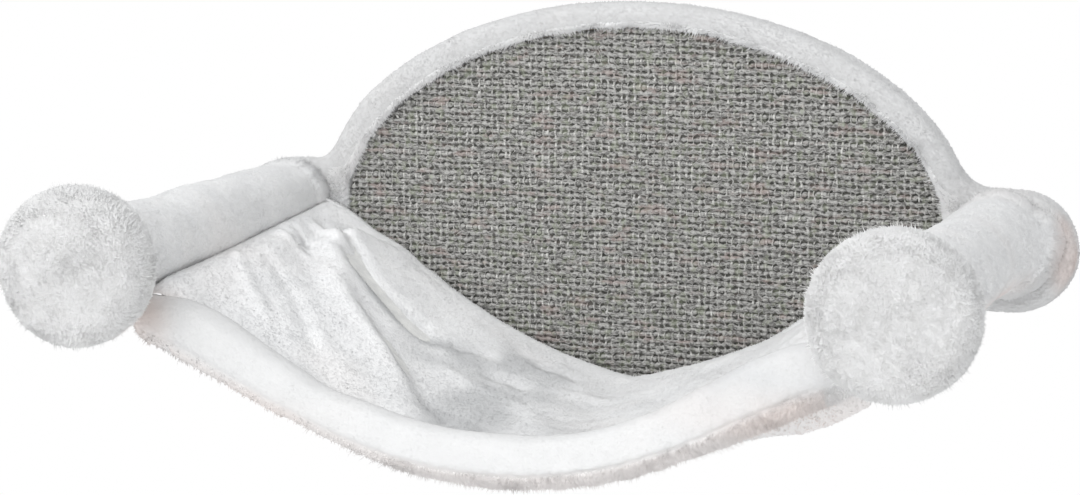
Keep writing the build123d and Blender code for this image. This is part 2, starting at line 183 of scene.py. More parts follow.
def pile(
    grid,
    wrap,
    flip,
    count,
    length,
    width,
    lean,
    seed,
    where=None,
    comb=(0, 0, 0),
    stray=0.15,
    round_off=0.06,
    facing=(0, 0, 0),
):
    """Low tufts on a grid, as spikes of three faces, with some stray hairs.

    Where is the share of tufts at each point, comb the way in which they all lean, stray the share of hairs,
    round_off how round each tuft is shaded, and facing the side from which it catches the light.
    """
    rng = np.random.default_rng(seed)
    rows, columns = grid.shape[:2]
    i, j = grid_cells(grid, wrap)
    corner, beside, beyond = grid[i, j], grid[i, (j + 1) % columns], grid[i + 1, j]
    area = np.linalg.norm(np.cross(beside - corner, beyond - corner), axis=1)
    if where is not None:
        area = area * where[i, j]
    cell = rng.choice(len(i), count, p=area / area.sum())
    a, b = rng.random((2, count, 1))
    i, j = i[cell], j[cell]

    def between(values):
        near = values[i, j] * (1 - b) + values[i, (j + 1) % columns] * b
        far = values[i + 1, j] * (1 - b) + values[i + 1, (j + 1) % columns] * b
        return near * (1 - a) + far * a

    root, normal = between(grid), unit(between(grid_normals(grid, wrap, flip)))
    drift = []
    for k in range(3):
        layers = [(amount, size, seed + step + k) for amount, size, step in TUFT_LEAN_LUMPS]
        drift.append(uneven(root, *layers))
    drift = np.stack(drift, 1) + np.asarray(comb) + TUFT_SCATTER * rng.normal(size=(count, 3))
    drift -= normal * (drift * normal).sum(1, keepdims=True)
    hair = rng.random((count, 1)) < stray
    reach = length * rng.uniform(*TUFT_LENGTH_SHARES, (count, 1)) * np.where(hair, HAIR_LENGTH_SHARE, 1)
    tip = root + reach * (normal + lean * drift)
    side = unit(np.cross(normal, rng.normal(size=(count, 3))))
    third = np.cross(normal, side)
    base = root - TUFT_ROOT_DEPTH * normal
    thick = width * rng.uniform(*TUFT_WIDTH_SHARES, (count, 1)) / 2 * np.where(hair, HAIR_WIDTH_SHARE, 1)
    turns = (0, 2 * pi / 3, 4 * pi / 3)
    points = [base + thick * (cos(turn) * side + sin(turn) * third) for turn in turns]
    points = np.stack([*points, tip], 1)
    spread = unit(points - base[:, None])
    shade = (normal + TUFT_SHADE_LEAN * drift + np.asarray(facing))[:, None] + round_off * spread
    first = 4 * np.arange(count)[:, None]
    faces = np.concatenate([first + np.array(c) for c in ((0, 1, 3), (1, 2, 3), (2, 0, 3))])
    place = np.stack([(j + b[:, 0]) / (columns if wrap else columns - 1), (i + a[:, 0]) / (rows - 1)], 1)
    offsets = HALF_MAP_PIXEL * np.array([(-1, -1), (1, -1), (0, 1), (1, 1)])
    places = np.clip(place[:, None] + offsets, 0, 1).reshape(-1, 2)[faces]
    return points.reshape(-1, 3), faces, places, shade.reshape(-1, 3)


def add_mesh(name, points, groups, material, normals=None, attributes=None):
    """A mesh object from points in mm and groups of (faces, map places)."""
    mesh = bpy.data.meshes.new(name)
    faces = [f for group, _ in groups for f in group.tolist()]
    mesh.from_pydata((np.asarray(points) * MM).tolist(), [], faces)
    layer = mesh.uv_layers.new(name="OFBake", do_init=False)
    layer.uv.foreach_set("vector", np.concatenate([p.reshape(-1) for _, p in groups]).astype(np.float32))
    mesh.polygons.foreach_set("use_smooth", np.ones(len(faces), bool))
    for key, values in (attributes or {}).items():
        mesh.attributes.new(key, "FLOAT", "POINT").data.foreach_set("value", values.astype(np.float32))
    mesh.update()
    if normals is not None:
        mesh.normals_split_custom_set_from_vertices(normals.tolist())
    mesh.materials.append(material)
    piece = bpy.data.objects.new(name, mesh)
    bpy.context.scene.collection.objects.link(piece)
    return piece


# Tones of the plush

# Places painted with a warm shade, at the bolster's ends and underside, under the right sleeve and on the
# right lug: centre, reach and strength
WARM_SHADE_PLACES = (
    ((-205, -275, -38), (22, 30, 22), 0.75),
    ((-222, -292, -22), (14, 12, 22), 0.5),
    ((170, -268, -62), (75, 40, 17), 0.35),
    ((230, -150, -24), (32, 110, 16), 0.6),
    ((264, -22, -8), (11, 16, 26), 0.7),
    ((-150, -270, -80), (45, 30, 14), 0.3),
)
# Places painted with grey shade, in the sling's creases, valley and hollow and on the bolster's right:
# centre, reach and strength
PAINTED_SHADE_PLACES = (
    ((-48, -92, -88), (58, 42, 26), 0.85),
    ((-50, -175, -90), (22, 52, 22), 1.0),
    ((-16, -190, -100), (56, 60, 24), 0.4),
    ((-126, -101, -50), (36, 12, 30), 1.1),
    ((-92, -110, -72), (20, 26, 20), 0.6),
    ((150, -288, -56), (60, 30, 26), 0.6),
)
PLACE_EDGE_SHARE, PLACE_LUMP = 1.4, 14
WARM_UNEVENNESS, WARM_SEED = 0.5, 5
PAINTED_SHADE_UNEVENNESS, PAINTED_SHADE_SEED = 0.7, 6

# The bolster's lower half is painted with a warm shade, from a share of its height down, and not near its
# ends
BOLSTER_WARM_SHADE, BOLSTER_WARM_FROM_SHARE, BOLSTER_WARM_STEEPNESS, BOLSTER_WARM_HALF = 0.42, 0.08, 4, 185


def strength_at(points, spots, unevenness, seed):
    """Sum of soft round spots of their own strength at each point."""
    total = np.zeros(len(points))
    for centre, reach, strength in spots:
        away = np.linalg.norm((points - np.array(centre)) / np.array(reach), axis=1)
        total += strength * ease(PLACE_EDGE_SHARE - away)
    return total * (1 + unevenness * lumps(points, PLACE_LUMP, seed))


def plush_tones(points):
    """Strength of the painted warm shade and of the painted grey shade at each point of the plush."""
    drop, height = bolster_line(np.clip(points[:, 0] / BOLSTER_HALF_LENGTH, -1, 1))
    below = (-drop - points[:, 2]) / height
    front = (points[:, 1] < -SLING_FRONT) & (np.abs(points[:, 0]) < BOLSTER_WARM_HALF)
    low = ease((below - BOLSTER_WARM_FROM_SHARE) * BOLSTER_WARM_STEEPNESS)
    warm = strength_at(points, WARM_SHADE_PLACES, WARM_UNEVENNESS, WARM_SEED) + BOLSTER_WARM_SHADE * front * low
    painted_shade = strength_at(points, PAINTED_SHADE_PLACES, PAINTED_SHADE_UNEVENNESS, PAINTED_SHADE_SEED)
    return {"painted_warm_shade": np.clip(warm, 0, 1), "painted_shade": np.clip(painted_shade, 0, 1)}


def skin(name, grid, material, wrap=False, flip=False, tufts=None, keep=None):
    """One fabric surface from a grid, with its tufts in the same mesh. Keep tells which cells stay."""
    faces, places = grid_faces(grid, wrap, flip)
    if keep is not None:
        faces, places = faces[keep], places[keep]
    points = grid.reshape(-1, 3)
    groups = [(faces, places)]
    normals = np.zeros_like(points)
    if tufts is not None:
        tuft_points, tuft_faces, tuft_places, shade = pile(grid, wrap, flip, **tufts)
        groups.append((tuft_faces + len(points), tuft_places))
        points = np.concatenate([points, tuft_points])
        normals = np.concatenate([normals, shade])
    return add_mesh(name, points, groups, material, normals, plush_tones(points))


def tuft_piece(name, grid, wrap, flip, material, tufts):
    """The pile of a cloth as a piece of its own."""
    points, faces, places, shade = pile(grid, wrap, flip, **tufts)
    return add_mesh(name, points, [(faces, places)], material, shade, plush_tones(points))


def finish_piece(piece, slot, *replaced, body="root"):
    """The piece rides on its body and stands for the named nodes; its slot is not used."""
    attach(piece, body)
    if replaced:
        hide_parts(*replaced)
    return piece


# Shader groups

COLOUR, VALUE = "NodeSocketColor", "NodeSocketFloat"
# Numbers of the mix node's sockets for colours
MIX_SHARE, MIX_ONE, MIX_OTHER, MIX_RESULT = 0, 6, 7, 2


def grey(share):
    """An opaque grey."""
    return (share, share, share, 1)


def group_tree(name, inputs, roughness=False):
    """A shader node group with its named sockets: its tree, what comes into it and what goes out."""
    tree = bpy.data.node_groups.new(name, "ShaderNodeTree")
    for label, value in inputs.items():
        kind = COLOUR if isinstance(value, tuple) else VALUE
        socket = tree.interface.new_socket(label, in_out="INPUT", socket_type=kind)
        socket.default_value = value
    tree.interface.new_socket("Colour", in_out="OUTPUT", socket_type=COLOUR)
    if roughness:
        tree.interface.new_socket("Roughness", in_out="OUTPUT", socket_type=VALUE)
    tree.interface.new_socket("Height", in_out="OUTPUT", socket_type=VALUE)
    return tree, tree.nodes.new("NodeGroupInput").outputs, tree.nodes.new("NodeGroupOutput").inputs


def feed(tree, socket, value):
    """Another node's socket linked in, or a plain value set."""
    if isinstance(value, bpy.types.NodeSocket):
        tree.links.new(value, socket)
    else:
        socket.default_value = value


def node(tree, kind, settings=None, **inputs):
    """A node with its settings and its inputs, each a value or another node's socket."""
    made = tree.nodes.new(kind)
    for key, value in (settings or {}).items():
        setattr(made, key, value)
    for key, value in inputs.items():
        feed(tree, made.inputs[key.replace("_", " ")], value)
    return made


def object_place(tree):
    """Place on the piece, in metres."""
    return node(tree, "ShaderNodeTexCoord").outputs["Object"]


def stretched(tree, place, scale):
    """The place with its axes scaled."""
    return node(tree, "ShaderNodeMapping", Vector=place, Scale=scale).outputs[0]


def mesh_value(tree, name):
    """A value kept at each point of the mesh."""
    return node(tree, "ShaderNodeAttribute", {"attribute_name": name}).outputs["Fac"]


def mix_colour(tree, share, one, other):
    """Colour output of a mix of two colours."""
    made = node(tree, "ShaderNodeMix", {"data_type": "RGBA"})
    for number, value in ((MIX_SHARE, share), (MIX_ONE, one), (MIX_OTHER, other)):
        feed(tree, made.inputs[number], value)
    return made.outputs[MIX_RESULT]


def remap(tree, value, low, high, to_low=0.0, to_high=1.0):
    """A value's range mapped to another, cut off at both ends."""
    spans = dict(From_Min=low, From_Max=high, To_Min=to_low, To_Max=to_high)
    return node(tree, "ShaderNodeMapRange", Value=value, **spans).outputs[0]


def noise(tree, place, scale, detail=2.0, roughness=0.6):
    """Factor output of a noise texture."""
    return node(
        tree, "ShaderNodeTexNoise", Vector=place, Scale=scale, Detail=detail, Roughness=roughness
    ).outputs[0]


def give(tree, go, **results):
    """The group's results linked to its outputs."""
    for label, result in results.items():
        tree.links.new(result, go[label])


def plush_pile_group():
    """Colour of crushed pile: broad patches where the pile lies another way, fine tufts with painted shade at
    their roots, and painted grey and warm shade as the mesh holds them.
    """
    tree, come, go = group_tree(
        "plush_pile",
        {
            "Light": grey(0.8),
            "Shade": grey(0.6),
            "Tint": (0.8, 0.7, 0.7, 1),
            "Warm Shade": (0.86, 0.775, 0.74, 1),
            "Painted Shade": (0.6, 0.605, 0.61, 1),
            "Patch Scale": 60.0,
            "Tuft Scale": 600.0,
        },
    )
    place = object_place(tree)
    patch = remap(tree, noise(tree, place, come["Patch Scale"], detail=3.0, roughness=0.55), 0.36, 0.66)
    tuft = noise(tree, place, come["Tuft Scale"])
    broad = mix_colour(tree, patch, come["Shade"], come["Light"])
    # Painted shade at the tufts' roots, as darker flecks
    painted_root_shade = remap(tree, tuft, 0.25, 0.5, to_low=0.2, to_high=0.0)
    flecked = mix_colour(tree, painted_root_shade, broad, come["Shade"])
    cloud = noise(tree, place, 14.0, detail=1.0, roughness=0.5)
    tinted = mix_colour(tree, remap(tree, cloud, 0.55, 0.75, to_high=0.5), flecked, come["Tint"])
    # Painted grey shade, as strong as the mesh holds it at each point
    with_painted_shade = mix_colour(tree, mesh_value(tree, "painted_shade"), tinted, come["Painted Shade"])
    # Painted warm shade, as strong as the mesh holds it at each point
    warmed = mix_colour(tree, mesh_value(tree, "painted_warm_shade"), with_painted_shade, come["Warm Shade"])
    give(tree, go, Colour=warmed, Height=remap(tree, tuft, 0.3, 0.7))
    return tree


def yarn_tone_group():
    """Colour of natural yarn: it changes from one length of yarn to the next, with fibre streaks."""
    tree, come, go = group_tree(
        "yarn_tone",
        {
            "Pale": (0.5, 0.5, 0.45, 1),
            "Dark": (0.2, 0.2, 0.18, 1),
            "Warm": (0.4, 0.3, 0.28, 1),
            "Green": (0.3, 0.33, 0.24, 1),
        },
    )
    place = object_place(tree)
    streak = noise(tree, stretched(tree, place, (0.25, 1.0, 1.0)), 900.0, detail=3.0)
    length = noise(tree, stretched(tree, place, (0.35, 1.0, 1.0)), 130.0)
    pale = mix_colour(tree, remap(tree, streak, 0.4, 0.58), come["Dark"], come["Pale"])
    green = remap(tree, noise(tree, place, 170.0), 0.54, 0.66, to_high=0.45)
    greened = mix_colour(tree, green, pale, come["Green"])
    warmed = mix_colour(tree, remap(tree, length, 0.56, 0.68, to_high=0.5), greened, come["Warm"])
    give(tree, go, Colour=warmed, Height=streak)
    return tree


def surface_wear_group():
    """Uneven finish of a hard part: a roughness that changes in soft patches, and a fine grain."""
    tree, come, go = group_tree(
        "surface_wear",
        {"Smooth": 0.3, "Rough": 0.5, "Grain Scale": 900.0, "Base": grey(0.5), "Worn": grey(0.4)},
        roughness=True,
    )
    place = object_place(tree)
    patch = remap(tree, noise(tree, place, 90.0, detail=4.0), 0.35, 0.65)
    worn = mix_colour(tree, patch, come["Base"], come["Worn"])
    uneven_gloss = remap(tree, patch, 0.0, 1.0, come["Smooth"], come["Rough"])
    give(tree, go, Colour=worn, Roughness=uneven_gloss, Height=noise(tree, place, come["Grain Scale"]))
    return tree


def wood_grain_group():
    """Long grain along Y with soft growth lines."""
    tree, come, go = group_tree("wood_grain", {"Early": (0.6, 0.45, 0.27, 1), "Late": (0.4, 0.26, 0.13, 1)})
    long = stretched(tree, object_place(tree), (1.0, 0.06, 1.0))
    ring_share = remap(tree, noise(tree, long, 240.0, detail=3.0), 0.4, 0.62)
    grained = mix_colour(tree, ring_share, come["Early"], come["Late"])
    give(tree, go, Colour=grained, Height=noise(tree, long, 1500.0))
    return tree


PLUSH_PILE = plush_pile_group()
YARN_TONE = yarn_tone_group()
SURFACE_WEAR = surface_wear_group()
WOOD_GRAIN = wood_grain_group()


# Materials

CLOTH_SHEEN_ROUGHNESS, CLOTH_SPECULAR = 0.5, 0.15


def new_material(name, roughness=None, metallic=None, sheen=None):
    """A material with its Principled shader, and the constants set on the shader's own sockets."""
    made = bpy.data.materials.new(name)
    made.use_nodes = True
    shader = made.node_tree.nodes["Principled BSDF"]
    if roughness is not None:
        shader.inputs["Roughness"].default_value = roughness
    if metallic is not None:
        shader.inputs["Metallic"].default_value = metallic
    if sheen is not None:
        shader.inputs["Sheen Weight"].default_value = sheen
        shader.inputs["Sheen Roughness"].default_value = CLOTH_SHEEN_ROUGHNESS
        shader.inputs["Specular IOR Level"].default_value = CLOTH_SPECULAR
    return made, made.node_tree, shader


def group_material(name, group, values, relief_strength, relief_depth, **constants):
    """A material whose colour, relief and, if the group gives it, roughness come from a shader group."""
    made, tree, shader = new_material(name, **constants)
    placed = tree.nodes.new("ShaderNodeGroup")
    placed.node_tree = group
    for label, value in values.items():
        placed.inputs[label].default_value = value
    tree.links.new(placed.outputs["Colour"], shader.inputs["Base Color"])
    if "Roughness" in placed.outputs:
        tree.links.new(placed.outputs["Roughness"], shader.inputs["Roughness"])
    height = placed.outputs["Height"]
    relief = node(tree, "ShaderNodeBump", Height=height, Strength=relief_strength, Distance=relief_depth)
    tree.links.new(relief.outputs[0], shader.inputs["Normal"])
    return made


def plush_material(
    name, light, shade, tint, patch_scale=60.0, tuft_scale=600.0, warm_shade=(0.86, 0.775, 0.74, 1)
):
    """Crushed white plush. Each surface has its own tones, since each lies in another light."""
    values = {"Light": light, "Shade": shade, "Tint": tint, "Warm Shade": warm_shade}
    values |= {"Patch Scale": patch_scale, "Tuft Scale": tuft_scale}
    relief = dict(relief_strength=0.3, relief_depth=0.0005)
    return group_material(name, PLUSH_PILE, values, **relief, roughness=0.95, sheen=0.25)


def yarn_material(name, pale, dark, warm):
    """Natural fibre yarn."""
    values = {"Pale": pale, "Dark": dark, "Warm": warm}
    relief = dict(relief_strength=0.6, relief_depth=0.0004)
    return group_material(name, YARN_TONE, values, **relief, roughness=0.85, sheen=0.1)


def worn_material(name, base, worn, smooth, rough, metallic=1.0, grain_scale=900.0, relief_strength=0.2):
    """A hard part with an uneven finish, of metal unless another share is given."""
    values = {"Base": base, "Worn": worn, "Smooth": smooth, "Rough": rough, "Grain Scale": grain_scale}
    relief = dict(relief_strength=relief_strength, relief_depth=0.0002)
    return group_material(name, SURFACE_WEAR, values, **relief, metallic=metallic)


def wood_material(name, early, late):
    """Turned softwood with its grain along the bar."""
    relief = dict(relief_strength=0.25, relief_depth=0.0003)
    return group_material(name, WOOD_GRAIN, {"Early": early, "Late": late}, **relief, roughness=0.6)


# The bolster, border, sleeve and disc plush are the same white plush, painted darker or lighter as painted
# shade and light for how light falls on each
PLUSH = plush_material("white_plush", grey(0.89), (0.84, 0.842, 0.845, 1), (0.89, 0.87, 0.86, 1))
BOLSTER_PLUSH = plush_material(
    "bolster_plush", grey(0.70), grey(0.68), (0.70, 0.69, 0.68, 1), warm_shade=(0.77, 0.70, 0.67, 1)
)
BORDER_PLUSH = plush_material(
    "border_plush",
    grey(0.63),
    (0.612, 0.612, 0.614, 1),
    (0.63, 0.62, 0.615, 1),
    warm_shade=(0.62, 0.53, 0.50, 1),
)
SLEEVE_PLUSH = plush_material(
    "sleeve_plush",
    grey(0.775),
    (0.725, 0.727, 0.73, 1),
    (0.775, 0.755, 0.745, 1),
    warm_shade=(0.74, 0.65, 0.62, 1),
)
DISC_PLUSH = plush_material(
    "disc_plush",
    grey(0.845),
    (0.82, 0.82, 0.815, 1),
    (0.835, 0.843, 0.81, 1),
    patch_scale=110.0,
    tuft_scale=500.0,
)
WADDING = plush_material(
    "wadding",
    (0.82, 0.82, 0.80, 1),
    (0.7, 0.7, 0.69, 1),
    (0.78, 0.78, 0.74, 1),
    patch_scale=120.0,
    tuft_scale=900.0,
)
SISAL_YARN = yarn_material(
    "sisal_yarn", (0.455, 0.45, 0.435, 1), (0.14, 0.138, 0.131, 1), (0.38, 0.295, 0.275, 1)
)
SISAL_WARP = yarn_material(
    "sisal_warp", (0.66, 0.655, 0.63, 1), (0.30, 0.297, 0.283, 1), (0.46, 0.38, 0.36, 1)
)
SISAL_BACKING = yarn_material(
    "sisal_backing", (0.13, 0.128, 0.118, 1), (0.07, 0.07, 0.064, 1), (0.15, 0.12, 0.108, 1)
)
FIBREBOARD = worn_material(
    "fibreboard",
    (0.36, 0.24, 0.13, 1),
    (0.29, 0.19, 0.10, 1),
    smooth=0.7,
    rough=0.85,
    metallic=0.0,
    grain_scale=1400.0,
    relief_strength=0.4,
)
PINE = wood_material("pine", (0.62, 0.44, 0.25, 1), (0.45, 0.28, 0.14, 1))
STEEL = worn_material("zinc_steel", (0.62, 0.63, 0.64, 1), (0.46, 0.47, 0.48, 1), smooth=0.25, rough=0.5)
BRASS = worn_material("brass", (0.72, 0.50, 0.20, 1), (0.52, 0.35, 0.14, 1), smooth=0.28, rough=0.5)


# Board cover

INNER_CORNER_BLEND = 14.0
# The outline is found between two distances from the middle, by halving
OUTLINE_STEPS, OUTLINE_NEAR, OUTLINE_FAR, OUTLINE_HALVINGS = 7201, 100.0, 300.0, 40

# The border rolls over the board's edge, tucks in at the mat and swells between them
BORDER_ROLL, BORDER_TUCK = 7.5, 4.5
BORDER_SWELL, SWELL_FROM_EDGE, SWELL_FROM_MAT = 1.0, 14, 12

# The back's edge, its folded hem, and the holes for sleeves and bolts with how far the cloth is drawn open
BACK_ROLL = 3.0
COVER_HEM, COVER_HEM_WIDTH = 2.0, 30.0
SLEEVE_HOLE, SLEEVE_HOLE_REACH = 20.5, 26.0
BOLT_HOLE, BOLT_HOLE_REACH = 13.0, 22.0
HOLE_TRIM = 1

COVER_POINTS_ROUND = 560
FRONT_ROWS, BAND_ROWS, BACK_ROLL_ROWS, BACK_ROWS = 30, 8, 5, 12
FRONT_ROW_CROWDING = 1.2
LIP_ROWS = slice(1, 6)

# The cloth lies below its pile, with lumps that calm down near the arms
COVER_PILE_DEPTH = 1.7
COVER_LUMPS = ((0.6, 22, 11), (0.18, 7, 12), (0.05, 3.2, 13))
STILL_NEAR_ARM, STILL_FADE = 21, 6
PILE_FROM_ARM, PILE_FADE_ROWS, BAND_PILE_SHARE = 24, 3, 0.6
COVER_TUFTS = dict(
    count=42000,
    length=0.6,
    width=2.2,
    lean=0.5,
    seed=21,
    comb=(0, 0, -0.2),
    stray=0.06,
    round_off=0.04,
    facing=(0, -0.5, 0.1),
)
LIP_TUFTS = dict(count=16000, length=2.0, width=1.1, lean=1.2, seed=22, stray=0.3, facing=(0, -1.6, 0.5))


def outline_distance(x, z):
    """Signed distance to the board's outline, negative inside: an oval blended into the two lugs."""
    scaled = np.hypot(x / BOARD_HALF_WIDTH, z / BOARD_HALF_HEIGHT)
    slope = np.hypot(x / BOARD_HALF_WIDTH**2, z / BOARD_HALF_HEIGHT**2)
    oval = scaled * (scaled - 1) / np.maximum(slope, LEAST_LENGTH)
    lugs = np.hypot(np.maximum(np.abs(x) - LUG_CENTRE_X, 0), z + LUG_DROP) - LUG_RADIUS
    share = np.clip(0.5 + 0.5 * (lugs - oval) / INNER_CORNER_BLEND, 0, 1)
    return lugs + (oval - lugs) * share - INNER_CORNER_BLEND * share * (1 - share)


def board_outline(count):
    """Evenly spaced points of the outline, as x and z."""
    turn = np.linspace(0, 2 * pi, OUTLINE_STEPS)
    near, far = np.full_like(turn, OUTLINE_NEAR), np.full_like(turn, OUTLINE_FAR)
    for _ in range(OUTLINE_HALVINGS):
        middle = (near + far) / 2
        inside = outline_distance(middle * np.cos(turn), middle * np.sin(turn)) < 0
        near, far = np.where(inside, middle, near), np.where(inside, far, middle)
    x, z = near * np.cos(turn), near * np.sin(turn)
    run = np.concatenate([[0], np.cumsum(np.hypot(np.diff(x), np.diff(z)))])
    at = np.linspace(0, run[-1], count, endpoint=False)
    return np.interp(at, run, x), np.interp(at, run, z)


def open_hole(x, z, hole, reach):
    """In-plane places near each arm moved outwards, so that a round hole opens there."""
    for _, side in SIDES:
        dx, dz = x - side * ARM_X, z
        away = np.maximum(np.hypot(dx, dz), LEAST_REACH)
        moved = np.where(away < reach, hole + away * (reach - hole) / reach, away)
        x, z = side * ARM_X + dx * moved / away, dz * moved / away
    return x, z


def arm_distance(x, z):
    """Distance in the wall's plane to the nearer arm's axis."""
    return np.min([np.hypot(x - side * ARM_X, z) for _, side in SIDES], axis=0)


def mat_shares(x, z):
    """Shares of the mat's half width and half height."""
    return np.abs(x - MAT_CENTRE_X) / MAT_HALF_WIDTH, np.abs(z) / MAT_HALF_HEIGHT


def mat_reach(x, z):
    """Each place's share of the mat's size in its direction, 1 on the edge of an oval with slim shoulders."""
    across, up = mat_shares(x, z)
    return (across**MAT_SLIMNESS + up**MAT_SLIMNESS) ** (1 / MAT_SLIMNESS)


def mat_half(level, half_along, half_across):
    """Half of the mat's extent at a level of the other direction."""
    left = np.clip(1 - (abs(level) / half_across) ** MAT_SLIMNESS, 0, 1)
    return half_along * left ** (1 / MAT_SLIMNESS)


def rolled(share):
    """Fall of a round edge, from 1 at the edge to 0 at the end of its roll."""
    return 1 - np.sqrt(1 - np.clip(1 - share, 0, 1) ** 2)


def cover_height(x, z):
    """How far the cover's front stands from the wall."""
    inside = -outline_distance(x, z)
    reach = np.maximum(mat_reach(x, z), LEAST_REACH)
    across, up = mat_shares(x, z)
    power = MAT_SLIMNESS - 1
    steep = np.hypot(across**power / MAT_HALF_WIDTH, up**power / MAT_HALF_HEIGHT)
    from_mat = (reach - 1) / np.maximum(steep * reach**-power, LEAST_LENGTH)
    edge = BORDER_ROLL * rolled(inside / BORDER_ROLL)
    tuck = (COVER_FRONT - MAT_FRONT) * rolled(from_mat / BORDER_TUCK)
    crown = BORDER_SWELL * ease(inside / SWELL_FROM_EDGE) * ease(from_mat / SWELL_FROM_MAT)
    return COVER_FRONT - edge - tuck + crown


def cover_rows():
    """The cover's rows, from the mat's edge over border and band to the hem at the back, and their kinds."""
    x, z = board_outline(COVER_POINTS_ROUND)
    reach = mat_reach(x, z)
    mat_x, mat_z = MAT_CENTRE_X + (x - MAT_CENTRE_X) / reach, z / reach
    rows, kinds = [], []

    def add_row(px, pz, distance, kind):
        rows.append(np.stack([px, -np.broadcast_to(distance, px.shape), pz], 1))
        kinds.append(kind)

    add_row(mat_x, mat_z, MAT_BACK, "lip")
    for share in np.sin(np.linspace(0, pi / 2, FRONT_ROWS)) ** FRONT_ROW_CROWDING:
        px, pz = mat_x + share * (x - mat_x), mat_z + share * (z - mat_z)
        hole_x, hole_z = open_hole(px, pz, SLEEVE_HOLE, SLEEVE_HOLE_REACH)
        add_row(hole_x, hole_z, cover_height(px, pz), "front")
    out_x, out_z = unit(np.stack([np.gradient(z), -np.gradient(x)], 1)).T
    for distance in np.linspace(COVER_FRONT - BORDER_ROLL, BACK_ROLL, BAND_ROWS)[1:]:
        add_row(x, z, distance, "band")
    for turn in np.linspace(0, pi / 2, BACK_ROLL_ROWS)[1:]:
        inset = BACK_ROLL * (1 - cos(turn))
        add_row(x - out_x * inset, z - out_z * inset, BACK_ROLL * (1 - sin(turn)), "band")
    start_x, start_z = x - out_x * BACK_ROLL, z - out_z * BACK_ROLL
    hem_reach = np.hypot(x / (BOARD_HALF_WIDTH - COVER_HEM_WIDTH), z / (BOARD_HALF_HEIGHT - COVER_HEM_WIDTH))
    hem_x, hem_z = x / hem_reach, z / hem_reach
    for share in np.linspace(0, 1, BACK_ROWS)[1:]:
        px, pz = start_x + share * (hem_x - start_x), start_z + share * (hem_z - start_z)
        add_row(*open_hole(px, pz, BOLT_HOLE, BOLT_HOLE_REACH), 0.0, "back")
    add_row(hem_x, hem_z, COVER_HEM, "back")
    return np.array(rows), np.array(kinds)[:, None]


def board_cover():
    """Plush stretched over the board: padded border, edge band, and the hem folded to the back."""
    grid, kinds = cover_rows()
    rows, columns = grid.shape[:2]
    soft = np.isin(kinds, ("front", "band")) * np.ones(columns)
    near_arm = arm_distance(grid[..., 0], grid[..., 2])
    still = ease((near_arm - STILL_NEAR_ARM) / STILL_FADE)
    rise = (uneven(grid, *COVER_LUMPS) - COVER_PILE_DEPTH) * soft * still
    grid = swell(grid, rise, wrap=True, flip=True)
    i, j = grid_cells(grid, True)
    centre = (grid[i, j] + grid[i + 1, (j + 1) % columns]) / 2
    hole = np.where(kinds[i, 0] == "front", SLEEVE_HOLE, BOLT_HOLE) - HOLE_TRIM
    keep = arm_distance(centre[:, 0], centre[:, 2]) > hole
    row = np.arange(rows)[:, None]
    weight = np.where(kinds == "front", ease((row + 1) / PILE_FADE_ROWS), BAND_PILE_SHARE)
    tufts = dict(COVER_TUFTS, where=soft * (near_arm > PILE_FROM_ARM) * weight)
    cover = skin("board_plush_cover_padded", grid, BORDER_PLUSH, wrap=True, flip=True, tufts=tufts, keep=keep)
    finish_piece(cover, "plush", "board_plush_cover")
    lip = np.zeros((rows, columns))
    lip[LIP_ROWS] = 1
    fringe = tuft_piece("cover_lip_fringe", grid, True, True, PLUSH, dict(LIP_TUFTS, where=lip))
    finish_piece(fringe, "plush")


board_cover()


# Sisal mat

RIB_PITCH, WARP_PITCH = 7.6, 4.2
YARN_ARC = 1.3 * pi
YARN_END_GAP, SHORTEST_YARN = 0.5, 8

# Heavy wefts run on each rib and light ones between two. Each kind has its shift as a share of the pitch, its
# radius with its beat over each warp and its lumps, and its depth behind the mat's front with the same two
WEFT_STEP, WEFT_SIDES = 1.25, 4
WEFT_SWAY_LUMPS, WEFT_ZIGZAG, WEFT_LUMP_SHIFT = ((0.8, 20, 32), (0.5, 4.5, 33)), 0.4, 7.0
WEFTS = (
    (0.0, 1.7, -0.4, (0.5, 2.8, 34), 2.3, -0.3, (0.25, 9, 35)),
    (0.5, 1.5, 0.32, (0.48, 2.8, 36), 2.4, 0.35, (0.2, 9, 43)),
)

WARP_STEP, WARP_SIDES, WARP_SEED = 0.95, 3, 31
WARP_SWAY_LUMPS, WARP_ZIGZAG = ((0.6, 22, 37), (0.5, 5, 38)), 0.35
WARP_LUMP_SHIFT, WARP_LUMP_DEPTH = 5.0, 40.0
WARP_DEPTH, WARP_DEPTH_BEAT, WARP_DEPTH_LUMPS = 1.75, 0.75, (0.3, 6, 39)
WARP_RADIUS, WARP_RADIUS_LUMPS, WARP_RADIUS_SPREAD = 0.5, (0.3, 5, 40), 0.16

FIBRE_COUNT, FIBRE_POINTS, FIBRE_SIDES, FIBRE_SEED = 320, 7, 3, 41
FIBRE_RADIUS, FIBRE_LENGTHS, FIBRE_BEND = 0.14, (4, 13), 1.2
FIBRE_DEPTH, FIBRE_LIFTS, FIBRE_ARCH_SHARES, FIBRE_REACH_SHARE = 0.5, (0.5, 2.2), (0.6, 1.0), 0.95

BACKING_POINTS_ROUND, BACKING_EDGE_GAP, MAP_MARGIN = 180, 0.3, 8
BACKING_DEPTH, BACKING_EDGE_DEPTH = 2.6, 3.2
BACKING_TOP_SHARES = (0.985, 0.7, 0.35, 0.0005)


def yarn(line, radius, sides, arc):
    """The front part of a round yarn along a line of points, as rows of points."""
    ahead = unit(np.gradient(line, axis=0))
    side = unit(np.cross(ahead, (0.0, -1.0, 0.0)))
    turns = np.linspace(-arc / 2, arc / 2, sides + 1)
    radius = np.asarray(radius)[..., None]
    return np.stack([line + radius * (sin(t) * side + cos(t) * np.cross(side, ahead)) for t in turns], 1)


